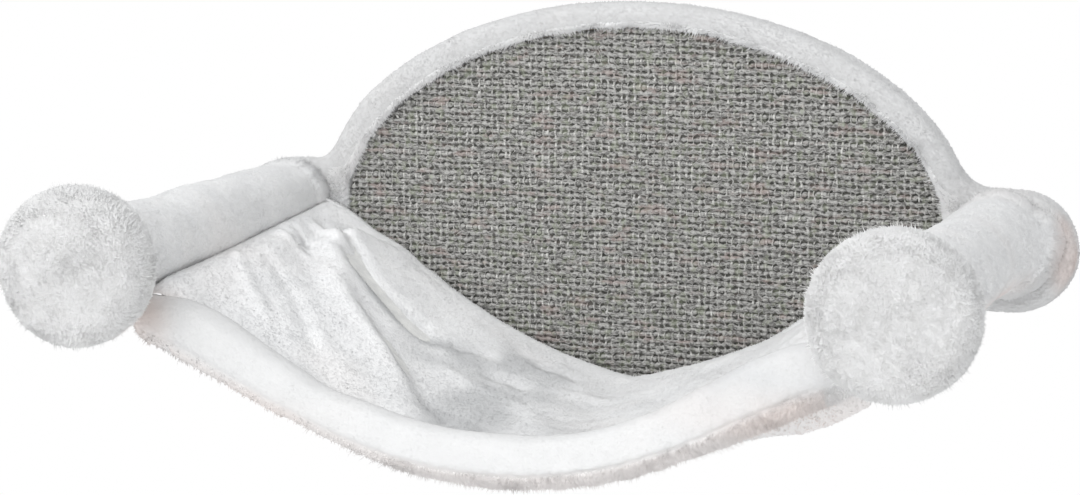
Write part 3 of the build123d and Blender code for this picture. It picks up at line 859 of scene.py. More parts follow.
def weft_yarns():
    """Heavy and light yarns across the mat, which zigzag and bulge between the warps."""
    ribs = int(MAT_HALF_HEIGHT / RIB_PITCH) + 1
    wefts = []
    for k, weft in product(range(-ribs, ribs + 1), WEFTS):
        shift, thickness, thickness_beat, thickness_lumps, depth, depth_beat, depth_lumps = weft
        level = RIB_PITCH * (k + shift)
        half = mat_half(level, MAT_HALF_WIDTH - YARN_END_GAP, MAT_HALF_HEIGHT)
        if half < SHORTEST_YARN:
            continue
        x = MAT_CENTRE_X + np.arange(-half, half, WEFT_STEP)
        place = np.stack([x, np.full_like(x, level), np.full_like(x, WEFT_LUMP_SHIFT * k)], 1)
        odd = pi * (k % 2)
        zigzag = np.cos(pi * (x - MAT_CENTRE_X) / WARP_PITCH + odd + pi * shift)
        wave = np.cos(2 * pi * (x - MAT_CENTRE_X) / WARP_PITCH + 2 * shift * odd)
        z = level + uneven(place, *WEFT_SWAY_LUMPS) + WEFT_ZIGZAG * zigzag
        radius = thickness + thickness_beat * wave + uneven(place, thickness_lumps)
        out = MAT_FRONT - depth + depth_beat * wave + uneven(place, depth_lumps)
        wefts.append((np.stack([x, -out, z], 1), radius, WEFT_SIDES))
    return wefts


def warp_yarns():
    """Thin yarns up the mat, over and under the wefts."""
    rng = np.random.default_rng(WARP_SEED)
    warps = int(MAT_HALF_WIDTH / WARP_PITCH) + 1
    threads = []
    for k in range(-warps, warps + 1):
        column = WARP_PITCH * (k + 0.5)
        half = mat_half(column, MAT_HALF_HEIGHT - YARN_END_GAP, MAT_HALF_WIDTH)
        if half < SHORTEST_YARN:
            continue
        z = np.arange(-half, half, WARP_STEP)
        place = np.stack([np.full_like(z, WARP_LUMP_SHIFT * k), z, np.full_like(z, WARP_LUMP_DEPTH)], 1)
        zigzag = (1 - np.cos(2 * pi * z / RIB_PITCH)) * (k % 2 - 0.5)
        x = MAT_CENTRE_X + column + uneven(place, *WARP_SWAY_LUMPS) + WARP_ZIGZAG * zigzag
        beat = WARP_DEPTH_BEAT * np.cos(4 * pi * z / RIB_PITCH)
        out = MAT_FRONT - WARP_DEPTH + beat + uneven(place, WARP_DEPTH_LUMPS)
        radius = WARP_RADIUS + uneven(place, WARP_RADIUS_LUMPS) + WARP_RADIUS_SPREAD * rng.random()
        threads.append((np.stack([x, -out, z], 1), radius, WARP_SIDES))
    return threads


def loose_fibres():
    """Fine curled ends standing off the weave."""
    rng = np.random.default_rng(FIBRE_SEED)
    share = np.linspace(0, 1, FIBRE_POINTS)
    lines = []
    while len(lines) < FIBRE_COUNT:
        x = rng.uniform(-MAT_HALF_WIDTH, MAT_HALF_WIDTH)
        z = rng.uniform(-MAT_HALF_HEIGHT, MAT_HALF_HEIGHT)
        if mat_reach(x, z) > FIBRE_REACH_SHARE:
            continue
        turn = rng.uniform(0, 2 * pi)
        angle = turn + rng.normal(0, FIBRE_BEND) * share
        step = rng.uniform(*FIBRE_LENGTHS) / (FIBRE_POINTS - 1)
        px = x + np.cumsum(np.cos(angle)) * step
        pz = z + np.cumsum(np.sin(angle)) * step
        lift = rng.uniform(*FIBRE_LIFTS)
        out = MAT_FRONT - FIBRE_DEPTH + lift * np.sin(pi * share * rng.uniform(*FIBRE_ARCH_SHARES))
        lines.append((np.stack([px, -out, pz], 1), np.full(FIBRE_POINTS, FIBRE_RADIUS), FIBRE_SIDES))
    return lines


def joined_yarns(lines, arc):
    """One set of points, faces and map places for many yarns."""
    points, faces, places, count = [], [], [], 0
    for line, radius, sides in lines:
        grid = yarn(line, radius, sides, arc)
        yarn_faces, _ = grid_faces(grid, False, False)
        flat = grid.reshape(-1, 3)
        spot = (flat[:, (0, 2)] / (2 * MAT_HALF_WIDTH + MAP_MARGIN) + 0.5).clip(0, 1)
        points.append(flat)
        faces.append(yarn_faces + count)
        places.append(spot[yarn_faces])
        count += len(flat)
    return np.concatenate(points), np.concatenate(faces), np.concatenate(places)


def backing_grid():
    """The backing's rows, from its hidden edge to its middle."""
    turn = np.linspace(0, 2 * pi, BACKING_POINTS_ROUND, endpoint=False)
    across, up = np.abs(np.cos(turn)), np.abs(np.sin(turn))
    shape = (across**MAT_SLIMNESS + up**MAT_SLIMNESS) ** (1 / MAT_SLIMNESS)
    steps = [(1.0, MAT_BACK), (1.0, MAT_FRONT - BACKING_EDGE_DEPTH)]
    steps += [(share, MAT_FRONT - BACKING_DEPTH) for share in BACKING_TOP_SHARES]
    rows = []
    for share, distance in steps:
        x = MAT_CENTRE_X + share * (MAT_HALF_WIDTH - BACKING_EDGE_GAP) * np.cos(turn) / shape
        z = share * (MAT_HALF_HEIGHT - BACKING_EDGE_GAP) * np.sin(turn) / shape
        rows.append(np.stack([x, np.full_like(x, -distance), z], 1))
    return np.array(rows)


def sisal_mat():
    """The woven mat: its yarns over a dark backing, and loose fibre ends."""
    for name, lines, arc, material, *replaced in (
        ("sisal_weave", weft_yarns(), YARN_ARC, SISAL_YARN, "sisal_mat"),
        ("sisal_warp", warp_yarns(), YARN_ARC, SISAL_WARP),
        ("sisal_loose_fibres", loose_fibres(), 2 * pi, SISAL_WARP),
    ):
        points, faces, places = joined_yarns(lines, arc)
        finish_piece(add_mesh(name, points, [(faces, places)], material), "sisal", *replaced)
    backing = skin("sisal_backing", backing_grid(), SISAL_BACKING, wrap=True)
    finish_piece(backing, "sisal")


sisal_mat()


# Sleeves

SLEEVE_FRONT = 294.2
SLEEVE_POINTS_ROUND, SLEEVE_ROWS = 128, 150
SLEEVE_STATION_SHARES = (0.0, 0.06, 0.38, 0.70, 1.0)
BULGE, BULGE_FULLNESS = 1.3, 0.8
SLEEVE_PILE_DEPTH = 0.8
SLEEVE_LONG_LUMPS, SLEEVE_SMALL_LUMPS = (0.9, 20, 52), ((0.3, 6, 53), (0.1, 3, 54))
SLEEVE_LUMP_STRETCH = (1, 0.6, 1)

# The sleeve flares on its outer and lower side where it meets the board
FLARE_OUT, FLARE_DOWN, FLARE_SPAN = 0.75, 0.66, 1.35
FLARE_WIDTH, FLARE_RISE, FLARE_REACH, FLARE_SLOPE = 9, 10.5, 17, 1.3
REAR_LOWEST, REAR_HIGHEST, REAR_SUNK = 9, 1, 2.2

# Gathers round its rear edge, and one soft fold in front of them
GATHERS_ROUND, GATHER_LUMPS = 13, (4, 24, 51)
GATHER_REACH, GATHER_DEPTH, GATHER_FLARE_SHARE = 11, 0.8, 0.6
FOLD_PLACE, FOLD_LUMPS = 10, (3, 30, 55)
FOLD_RIDGE, FOLD_RIDGE_WIDTH = 0.3, 3
FOLD_VALLEY, FOLD_VALLEY_WIDTH, FOLD_VALLEY_AWAY = 0.35, 4, 6

# Its front edge is drawn in round the bar
TUCK_LENGTH, TUCK_LEAST_SHARE, TUCK_GAP = 5, 0.35, 0.3

SLEEVE_TUFTS = dict(
    count=42000,
    length=0.5,
    width=2.2,
    lean=0.6,
    comb=(0, 0.1, -0.25),
    stray=0.04,
    round_off=0.03,
    facing=(0, -0.35, 0.2),
)
SLEEVE_END_TUFTS = dict(
    count=6000, length=1.6, width=1.7, lean=0.9, comb=(0, 0.6, -0.1), facing=(0, -0.5, 0.3)
)
SLEEVE_SEED, SLEEVE_END_SEED = 61, 71
SLEEVE_END_ROWS = 4.0


def sleeve_grid(side):
    """Plush tube on one bar, drawn in between soft bulges and gathered where it meets the board."""
    turn = np.linspace(0, 2 * pi, SLEEVE_POINTS_ROUND, endpoint=False)
    outer_low = FLARE_OUT * side * np.cos(turn) - FLARE_DOWN * np.sin(turn)
    outer_low = ease(FLARE_SPAN * np.clip(outer_low, 0, 1))
    spread = SLEEVE_RADIUS + FLARE_WIDTH * outer_low
    rear = cover_height(side * ARM_X + spread * np.cos(turn), spread * np.sin(turn))
    rear = np.clip(rear, COVER_FRONT - REAR_LOWEST, COVER_FRONT + REAR_HIGHEST) - REAR_SUNK
    share = np.linspace(0, 1, SLEEVE_ROWS)[:, None]
    distance = rear + share * (SLEEVE_FRONT - rear)
    stations = np.array(SLEEVE_STATION_SHARES)
    k = np.clip(np.searchsorted(stations, share, side="right") - 1, 0, len(stations) - 2)
    local = (share - stations[k]) / (stations[k + 1] - stations[k])
    bulge = BULGE * np.sin(pi * local) ** BULGE_FULLNESS
    place = ring(side, SLEEVE_RADIUS, turn, distance)
    from_board = distance - rear
    gathers = np.cos(GATHERS_ROUND * turn + uneven(place, GATHER_LUMPS)) * np.exp(-from_board / GATHER_REACH)
    gathers = gathers * GATHER_DEPTH * (1 - GATHER_FLARE_SHARE * outer_low)
    slack = uneven(place * SLEEVE_LUMP_STRETCH, SLEEVE_LONG_LUMPS) + uneven(place, *SLEEVE_SMALL_LUMPS)
    flare = np.exp(-((np.maximum(from_board, 0) / FLARE_REACH) ** FLARE_SLOPE))
    flare = FLARE_RISE * outer_low * flare
    ridge = from_board - FOLD_PLACE - uneven(place, FOLD_LUMPS)
    valley = FOLD_VALLEY * hump(ridge - FOLD_VALLEY_AWAY, FOLD_VALLEY_WIDTH)
    fold = FOLD_RIDGE * outer_low * hump(ridge, FOLD_RIDGE_WIDTH) - valley
    radius = SLEEVE_RADIUS - SLEEVE_PILE_DEPTH + bulge + gathers + slack + fold + flare
    tuck = TUCK_LEAST_SHARE + (1 - TUCK_LEAST_SHARE) * ease((SLEEVE_FRONT - distance) / TUCK_LENGTH)
    least = BAR_RADIUS + TUCK_GAP
    radius = least + (radius - least) * tuck
    first, last = (ring(side, BAR_RADIUS, turn, at) for at in (distance[:1], distance[-1:]))
    return np.concatenate([first, ring(side, radius, turn, distance), last])


def sleeve(name, side):
    """One sleeve with its pile, and a fringe where it meets the board."""
    grid = sleeve_grid(side)
    made = skin(f"{name}_sleeve_plush", grid, SLEEVE_PLUSH, wrap=True)
    finish_piece(made, "plush", f"{name}_sleeve")
    row = np.arange(grid.shape[0])[:, None]
    inner = ((row > 0) & (row < grid.shape[0] - 1)) * np.ones(grid.shape[1])
    for part, style, seed, where in (
        ("pile", SLEEVE_TUFTS, SLEEVE_SEED, inner),
        ("end_fringe", SLEEVE_END_TUFTS, SLEEVE_END_SEED, inner * hump(row - 1.0, SLEEVE_END_ROWS)),
    ):
        tufts = dict(style, seed=seed + side, where=where)
        piece = tuft_piece(f"{name}_sleeve_{part}", grid, True, False, SLEEVE_PLUSH, tufts)
        finish_piece(piece, "plush")


for name, side in SIDES:
    sleeve(name, side)


# Sling

WRAP_RADIUS = 28.4
WRAP_TURNS = np.radians((4, 12, 20, 28))
WRAP_HIGHEST_SHARE = 0.9
SLING_INSET, SLING_SIDE_SHARE = 0.3, 0.9985
RELAX_ROUNDS = 4

# Heights in metres from which the solids' upper and lower sides are looked for
RAY_HIGH, RAY_LOW = 0.3, -0.5

# Fold lines on the lying face: points as x and distance from the wall, then rise and half width
FOLDS = (
    (((-189, 77), (-178, 81), (-167, 85), (-150, 92)), 2.6, 5.0),
    (((-188, 67), (-166, 75), (-150, 82)), -1.6, 4.0),
    (((-170, 80), (-152, 92), (-137, 95), (-120, 97), (-106, 97), (-88, 99)), -5.0, 9.0),
    (((-158, 121), (-138, 140), (-114, 159), (-89, 181), (-61, 218)), 3.4, 8.0),
    (((-198, 120), (-179, 123), (-160, 128)), 1.6, 4.5),
    (((-193, 99), (-175, 111)), -1.6, 4.0),
    (((-199, 177), (-173, 203), (-150, 225)), 2.2, 6.0),
    (((-185, 160), (-150, 185), (-128, 215), (-118, 245)), -1.6, 6.0),
    (((-150, 122), (-122, 140), (-98, 160), (-72, 190), (-50, 222)), -4.0, 13.0),
    (((-140, 195), (-110, 215), (-92, 238)), 2.4, 16.0),
    (((-94, 92), (-80, 84), (-64, 78)), -1.9, 6.0),
    (((-70, 108), (-52, 100), (-36, 104)), -1.8, 6.0),
    (((-88, 122), (-70, 130), (-50, 128)), 1.4, 7.0),
    (((-50, 66), (-34, 62), (-14, 66)), -1.4, 5.0),
    (((-30, 92), (-8, 84), (16, 88)), 1.2, 6.0),
    (((-60, 120), (-20, 150), (10, 190), (20, 230)), 1.1, 9.0),
    (((30, 90), (60, 130), (80, 180), (85, 230)), -1.1, 8.0),
    (((150, 70), (120, 100), (90, 140)), 1.3, 8.0),
    (((185, 110), (150, 150), (125, 200)), -1.3, 8.0),
)
FOLD_GAIN, FOLD_START_SHARE, FOLD_START_STEEPNESS, FOLD_END_STEEPNESS = 1.3, 0.35, 4, 3

# The face sinks below the bolster's top at the front, and a little at the back
BOLSTER_TOP_SHARE, SINK_START, SINK_LENGTH, SINK_SIDE, SINK_SIDE_FADE = 0.24, 205, 50, 1, 30
BACK_SINK, BACK_SINK_LENGTH, BACK_SINK_SIDE_FADE = 0.6, 45, 25

FACE_ROWS, FACE_COLUMNS, FACE_CROWDING = 124, 216, 1.25
FACE_FOLD_SIDE_FADE, FACE_FOLD_BACK_FADE, FACE_EDGE_LUMP_SHARE = 10, 12, 0.25
FACE_LUMPS, FACE_FINE_LUMPS = ((1.5, 34, 71), (0.9, 15, 72), (0.25, 6, 73)), (0.08, 3, 74)
FACE_OVER_SIDE = 1.4
# Rows behind the face's back edge, as way back and rise, and rows at its front edge, as shares of the reach
# and fall of a lip that laps over the bolster near the left arm
BACK_EDGE = ((8.2, -0.8), (5.6, 0.1), (2.6, 0.3))
FRONT_EDGE_SHARES = ((0.35, 0.12), (0.7, 0.4), (1.0, 0.85))
LIP_STEP, LIP_FALL, LAP_REACH, LAP_FALL, LAP_X, LAP_FADE = 1.2, 2.5, 11.0, 5.5, -150, 35

UNDER_ROWS, UNDER_COLUMNS = 96, 170
UNDER_LUMPS = ((1.1, 30, 81), (0.6, 12, 82), (0.1, 5, 83))
UNDER_EDGE_DEPTH = 2.0
FRONT_TURN_UP, FRONT_TURN_UP_X, FRONT_TURN_UP_FADE = 20, 150, 25

# The slack under the right sleeve: how far it swings out, and its lower outline as x and height
SLACK_SWING, SLACK_X, SLACK_X_FADE = 13, 140, 59
SLACK_BACK, SLACK_BACK_FADE, SLACK_LEVEL, SLACK_LEVEL_FADE = 190, 65, -34, 12
SLACK_RISE_BACK, SLACK_RISE_FADE, SLACK_FREE = 120, 70, -300
SLACK_OUTLINE = (
    (104, -130),
    (116, -95),
    (128, -86.5),
    (147, -81.5),
    (165, -76),
    (181, -70),
    (192, -64),
    (202, -58),
    (211, -52),
    (220, -46),
)

# Wadding is remeshed in cells of a size in metres
WADDING_CELL, DISC_WADDING_CELL, WADDING_SMOOTHING = 0.003, 0.002, 2
WADDING_LUMPS, WADDING_SHRINK = ((0.25, 4, 91), (0.15, 2, 92)), 0.4

FACE_TUFTS = dict(
    count=64000, length=0.6, width=2.0, lean=0.6, seed=75, comb=(0.1, -0.35, 0), stray=0.03, round_off=0.03
)
UNDER_TUFTS = dict(count=48000, length=0.55, width=1.9, lean=0.5, seed=85, comb=(0, 0.2, 0), stray=0.0)


def line_distance(x, y, points):
    """Distance in a plane from each place to a broken line, and how far along the line it is."""
    best, along = np.full(x.shape, np.inf), np.zeros(x.shape)
    points = np.array(points, float)
    for k, (start, end) in enumerate(zip(points, points[1:])):
        run = end - start
        share = ((x - start[0]) * run[0] + (y - start[1]) * run[1]) / (run @ run)
        share = share.clip(0, 1)
        away = np.hypot(x - start[0] - share * run[0], y - start[1] - share * run[1])
        along = np.where(away < best, (k + share) / (len(points) - 1), along)
        best = np.minimum(best, away)
    return best, along


def fold_relief(x, distance):
    """Rise of the fabric over its fold lines, fading out at both ends of each."""
    total = np.zeros(x.shape)
    for points, rise, half_width in FOLDS:
        away, along = line_distance(x, distance, points)
        fade = ease(along * FOLD_START_STEEPNESS + FOLD_START_SHARE) * ease((1 - along) * FOLD_END_STEEPNESS)
        total += FOLD_GAIN * rise * fade * hump(away, half_width)
    return total


def solid_heights(node_name, x, distance, from_above):
    """Height of a solid's upper or lower side over each place, in mm."""
    mesh = nodes[node_name].data
    tree = BVHTree.FromPolygons([v.co for v in mesh.vertices], [p.vertices for p in mesh.polygons])
    start = RAY_HIGH if from_above else RAY_LOW
    way = Vector((0, 0, -1 if from_above else 1))
    heights = np.full(x.shape, np.nan)
    for at in np.ndindex(x.shape):
        hit = tree.ray_cast(Vector((x[at] * MM, -distance[at] * MM, start)), way)[0]
        if hit is not None:
            heights[at] = hit.z / MM
    return heights


def relax(values):
    """Each value drawn to the mean of its neighbours, the edges along themselves."""
    for _ in range(RELAX_ROUNDS):
        padded = np.pad(values, 1, mode="edge")
        middle = padded[1:-1, 1:-1] * 2
        values = (middle + padded[:-2, 1:-1] + padded[2:, 1:-1] + padded[1:-1, :-2] + padded[1:-1, 2:]) / 6
    return values


def settle(x, distance, z, top):
    """The sling sunk at its front edge, below the bolster's top, and a little at its back."""
    drop, height = bolster_line(np.clip(x / BOLSTER_HALF_LENGTH, -1, 1))
    over = np.maximum(0, top - (BOLSTER_TOP_SHARE * height - drop))
    inner = SLING_HALF_SPAN - SINK_SIDE - np.abs(x)
    z = z - over * ease((distance - SINK_START) / SINK_LENGTH) * ease(inner / SINK_SIDE_FADE)
    back = ease((SLING_BACK + BACK_SINK_LENGTH - distance) / BACK_SINK_LENGTH)
    return z - BACK_SINK * back * ease(inner / BACK_SINK_SIDE_FADE)


def sling_places(across, rows):
    """The sling's grid in plan: x, and distance from the wall."""
    back_and_front = np.linspace(SLING_BACK + SLING_INSET, SLING_FRONT - SLING_INSET, rows)
    return np.meshgrid(SLING_HALF_SPAN * across * SLING_SIDE_SHARE, back_and_front)


def round_sleeve(edge, side):
    """The sling's edge carried on round the sleeve's underside."""
    start = np.arcsin(np.clip(-edge[:, 2] / WRAP_RADIUS, 0, WRAP_HIGHEST_SHARE))[:, None] + WRAP_TURNS
    x, z = side * (ARM_X - WRAP_RADIUS * np.cos(start)), -WRAP_RADIUS * np.sin(start)
    return np.stack(np.broadcast_arrays(x, edge[:, 1:2], z), -1)


def sling_face_grid():
    """The lying face: the solid's upper side with its finer folds, lips at back and front, and its wraps."""
    crowded = np.sin(np.linspace(-1, 1, FACE_COLUMNS) * FACE_CROWDING) / np.sin(FACE_CROWDING)
    x, distance = sling_places(crowded, FACE_ROWS)
    z = relax(solid_heights("sling_lying_face", x, distance, True))
    inner = ease((SLING_HALF_SPAN - np.abs(x)) / FACE_FOLD_SIDE_FADE)
    inner = inner * ease((distance - SLING_BACK) / FACE_FOLD_BACK_FADE)
    z = z + fold_relief(x, distance) * inner
    place = np.stack([x, -distance, z], -1)
    soft = uneven(place, *FACE_LUMPS) * (FACE_EDGE_LUMP_SHARE + (1 - FACE_EDGE_LUMP_SHARE) * inner)
    z = settle(x, distance, z, z) + soft + uneven(place, FACE_FINE_LUMPS)
    place = np.stack([x, -distance, z], -1)
    place[:, 0, 0] -= FACE_OVER_SIDE
    place[:, -1, 0] += FACE_OVER_SIDE
    lap = ease((LAP_X - place[-1:, :, 0]) / LAP_FADE)
    rows = [place[:1] + (0, back, rise) for back, rise in BACK_EDGE]
    rows.append(place)
    for reach, fall in FRONT_EDGE_SHARES:
        front = place[-1:].copy()
        front[..., 1] -= LIP_STEP + LAP_REACH * lap * reach
        front[..., 2] -= LIP_FALL * reach + LAP_FALL * lap * fall
        rows.append(front)
    place = np.concatenate(rows)
    left, right = round_sleeve(place[:, 0], -1)[:, ::-1], round_sleeve(place[:, -1], 1)
    return np.concatenate([left, place, right], axis=1)


def sling_under_grid():
    """The underside, with its edges turned up to the lying face and its slack under the right sleeve."""
    x, distance = sling_places(np.linspace(-1, 1, UNDER_COLUMNS), UNDER_ROWS)
    z = relax(solid_heights("sling_underside", x, distance, False))
    top = relax(solid_heights("sling_lying_face", x, distance, True))
    thickness = top - z - UNDER_EDGE_DEPTH
    z = settle(x, distance, z, top)
    z = z + uneven(np.stack([x, -distance, z], -1), *UNDER_LUMPS)
    swing = ease((x - SLACK_X) / SLACK_X_FADE) * ease((distance - SLACK_BACK) / SLACK_BACK_FADE)
    x = x + SLACK_SWING * swing * ease((SLACK_LEVEL - z) / SLACK_LEVEL_FADE)
    lowest = np.interp(x, *zip(*SLACK_OUTLINE), left=SLACK_FREE)
    z = z + np.maximum(0, lowest - z) * ease((distance - SLACK_RISE_BACK) / SLACK_RISE_FADE)
    place = np.stack([x, -distance, z], -1)
    rear, front = place[:1].copy(), place[-1:].copy()
    rear[..., 2] += thickness[:1]
    turn_up = FRONT_TURN_UP * ease((front[..., 0] - FRONT_TURN_UP_X) / FRONT_TURN_UP_FADE)
    front[..., 2] += thickness[-1:] + turn_up
    place = np.concatenate([rear, place, front])
    left, right = place[:, :1].copy(), place[:, -1:].copy()
    for edge, column in ((left, 0), (right, -1)):
        edge[1:-1, 0, 2] += thickness[:, column]
    return np.concatenate([left, place, right], axis=1)


def wadding_piece(name, replaced, cell=WADDING_CELL, body="root", shift=None):
    """Loose wadding in the space of the solid that it stands for."""
    mesh = nodes[replaced].data.copy()
    mesh.name = name
    mesh.materials.clear()
    mesh.materials.append(WADDING)
    piece = bpy.data.objects.new(name, mesh)
    bpy.context.scene.collection.objects.link(piece)
    remesh = piece.modifiers.new("even", "REMESH")
    remesh.mode = "VOXEL"
    remesh.voxel_size = cell
    smooth = piece.modifiers.new("soften", "SMOOTH")
    smooth.iterations = WADDING_SMOOTHING
    bpy.context.view_layer.update()
    ready = piece.evaluated_get(bpy.context.evaluated_depsgraph_get())
    final = bpy.data.meshes.new_from_object(ready)
    piece.modifiers.clear()
    piece.data = final
    points = np.array([v.co for v in final.vertices]) / MM
    normals = np.array([v.normal for v in final.vertices])
    points += normals * (uneven(points, *WADDING_LUMPS) - WADDING_SHRINK)[:, None]
    if shift is not None:
        x, y, z = points.T
        points[:, 2] = shift(x, -y, z, z + SLING_THICKNESS / 2)
    final.vertices.foreach_set("co", (points * MM).astype(np.float32).ravel())
    final.polygons.foreach_set("use_smooth", np.ones(len(final.polygons), bool))
    final.update()
    finish_piece(piece, "wadding", replaced, body=body)


def sling():
    """Lying face, wadding and underside of the sling."""
    grid = sling_face_grid()
    made = finish_piece(skin("sling_lying_face_plush", grid, PLUSH, flip=True), "plush", "sling_lying_face")
    face_pile = finish_piece(tuft_piece("sling_face_pile", grid, False, True, PLUSH, FACE_TUFTS), "plush")
    grid = sling_under_grid()
    made = finish_piece(skin("sling_underside_plush", grid, PLUSH), "plush", "sling_underside")
    under_pile = tuft_piece("sling_underside_pile", grid, False, False, PLUSH, UNDER_TUFTS)
    finish_piece(under_pile, "plush")
    wadding_piece("sling_wadding", "sling_filling", shift=settle)


sling()


# Rear hem and bolster

END_CAP, END_CAP_SHARES = 6.0, (0.02, 0.3, 0.55, 0.75, 0.88, 0.96)

HEM_ACROSS_SHARES = (-1.0, -0.88, -0.70, -0.45, -0.22, 0.0, 0.22, 0.45, 0.70, 0.88, 1.0)
HEM_DROP_SHARES = (-0.02, 0.09, 0.33, 0.68, 0.93, 1.0, 0.93, 0.69, 0.35, 0.10, -0.02)
HEM_RADIUS_SHARES = (0.64, 0.64, 0.85, 1.0, 1.0, 1.0, 1.0, 1.0, 0.85, 0.64, 0.64)
HEM_RADIUS, HEM_LOWERED, HEM_SAG_SHARE, HEM_GAP, HEM_PILE_DEPTH = 6.2, 4.2, 0.93, 0.3, 1.0
HEM_END_STEEPNESS = 6
HEM_ROWS, HEM_POINTS_ROUND = 260, 36
HEM_LUMPS = ((0.8, 18, 95), (0.25, 6, 96))
HEM_TUFTS = dict(count=22000, length=0.8, width=1.9, lean=0.6, seed=98)

BOLSTER_BACK_SHARE, BOLSTER_GAP, BOLSTER_SIZE_SHARE = 0.46, 0.3, 0.97
BOLSTER_OUTLINE_SHARES = (
    (0.45, 0.20),
    (0.36, 0.39),
    (0.0, 0.50),
    (-0.29, 0.41),
    (-0.40, 0.20),
    (-0.45, 0.02),
    (-0.44, -0.09),
    (-0.40, -0.18),
    (-0.37, -0.28),
    (-0.31, -0.38),
    (-0.10, -0.49),
    (0.16, -0.47),
    (0.40, -0.31),
    (0.46, -0.06),
)
BAG_ROWS, BAG_POINTS_ROUND, BOLSTER_ROWS, BOLSTER_POINTS_ROUND = 84, 28, 640, 96
BAG_PRESSURE, BAG_LARGEST_MOVE, BAG_STEPS = 3.0, 3.0, 20
BAG_QUALITY, BAG_MASS, BAG_STIFFNESS, BAG_BENDING = 6, 0.15, 20, 0.2

# The bolster's upper side stands higher in the middle: rise, and where along it starts and ends
CREST_RISE, CREST_START, CREST_START_FADE, CREST_END, CREST_END_FADE = 4.5, -105, 50, 190, 60
CREST_LEVEL, CREST_LEVEL_FADE = 1, 7
# Places round the outline, counted in its points: the seam, the puckers above it and the band below it
SEAM_PLACE, SEAM_WIDTH, SEAM_DEPTH, SEAM_GATHERED_DEPTH = 7.0, 0.55, 0.15, 0.6
PUCKER_PLACE, PUCKER_WIDTH, PUCKER_DEPTH, PUCKER_TURN, PUCKER_LUMPS = 6.4, 0.7, 0.25, 0.55, (3, 25, 102)
BAND_FADE, BAND_END, BAND_END_FADE = 0.6, 10.6, 0.8
# The band is gathered from the middle to the right arm
GATHERED_START, GATHERED_START_FADE, GATHERED_END, GATHERED_END_FADE = -60, 120, 190, 30
BAND_LUMPS, BAND_RIB_DEPTH, BAND_RIB_PITCH, BAND_RIB_LUMPS = (1.2, 5.5, 101), 0.25, 2.6, (4, 6, 109)
BAND_PLAIN_SHARE = 0.1
BOLSTER_LUMPS = ((0.9, 26, 103), (0.35, 9, 104), (0.06, 3.5, 105))
BOLSTER_TUFTS = dict(count=22000, length=0.3, width=1.8, lean=0.4, seed=106, stray=0.06)
FRINGE_START, FRINGE_START_FADE, FRINGE_END, FRINGE_END_FADE, FRINGE_LEAST = -90, 90, 196, 12, 0.05
FRINGE_TUFTS = dict(
    count=13000, length=1.8, width=1.4, lean=0.8, seed=108, round_off=0.45, facing=(0, -0.9, 0.3)
)


def closed_outline(points, count):
    """Even places round a smooth closed line through the points."""
    points = np.array(points, float)
    keys = np.arange(-2, len(points) + 3)
    looped = points[keys % len(points)]
    at = np.linspace(0, len(points), count, endpoint=False)
    return np.stack([smooth_through(at, keys, looped[:, k]) for k in range(2)], 1)


def tube_grid(path, outline, scale):
    """A tube whose outline's first axis lies along +Y and whose second axis stands square to the path."""
    run = np.gradient(path, axis=0)
    run[0] = run[-1] = (1, 0, 0)
    run[:, 1] = 0
    back = np.array((0.0, 1.0, 0.0))
    rise = np.cross(unit(run), back)
    u, v = outline[..., 0], outline[..., 1]
    return path[:, None] + scale[:, None, None] * (u[..., None] * back + v[..., None] * rise[:, None])


def close_ends(grid):
    """The tube with rows drawn in at each end, so that it closes in a round end."""
    ends = []
    for row, side in ((grid[0], -1), (grid[-1], 1)):
        centre = row.mean(0)
        out = np.array((side * END_CAP, 0, 0))
        cap = [centre + (row - centre) * share + out * (1 - share**2) ** 0.5 for share in END_CAP_SHARES]
        ends.append(np.array(cap))
    first, last = ends
    return np.concatenate([first, grid, last[::-1]])


def rear_hem():
    """The soft roll between the mat and the sling."""
    across = np.linspace(-1, 1, HEM_ROWS)
    radius = HEM_RADIUS * smooth_through(across, HEM_ACROSS_SHARES, HEM_RADIUS_SHARES)
    drop = smooth_through(across, HEM_ACROSS_SHARES, HEM_DROP_SHARES) * SLING_SAG * HEM_SAG_SHARE
    low = HEM_LOWERED * ease((1 - np.abs(across)) * HEM_END_STEEPNESS)
    y, z = -(SLING_BACK - HEM_GAP - radius), -drop - radius / 2 - low
    path = np.stack([across * SLING_HALF_SPAN, y, z], 1)
    turn = np.linspace(0, 2 * pi, HEM_POINTS_ROUND, endpoint=False)
    outline = np.stack([np.cos(turn), np.sin(turn)], 1)
    grid = tube_grid(path, outline, radius - HEM_PILE_DEPTH)
    grid = close_ends(swell(grid, uneven(grid, *HEM_LUMPS), True))
    hem = skin("sling_rear_hem_roll", grid, PLUSH, wrap=True, tufts=HEM_TUFTS)
    finish_piece(hem, "plush", "rear_hem")


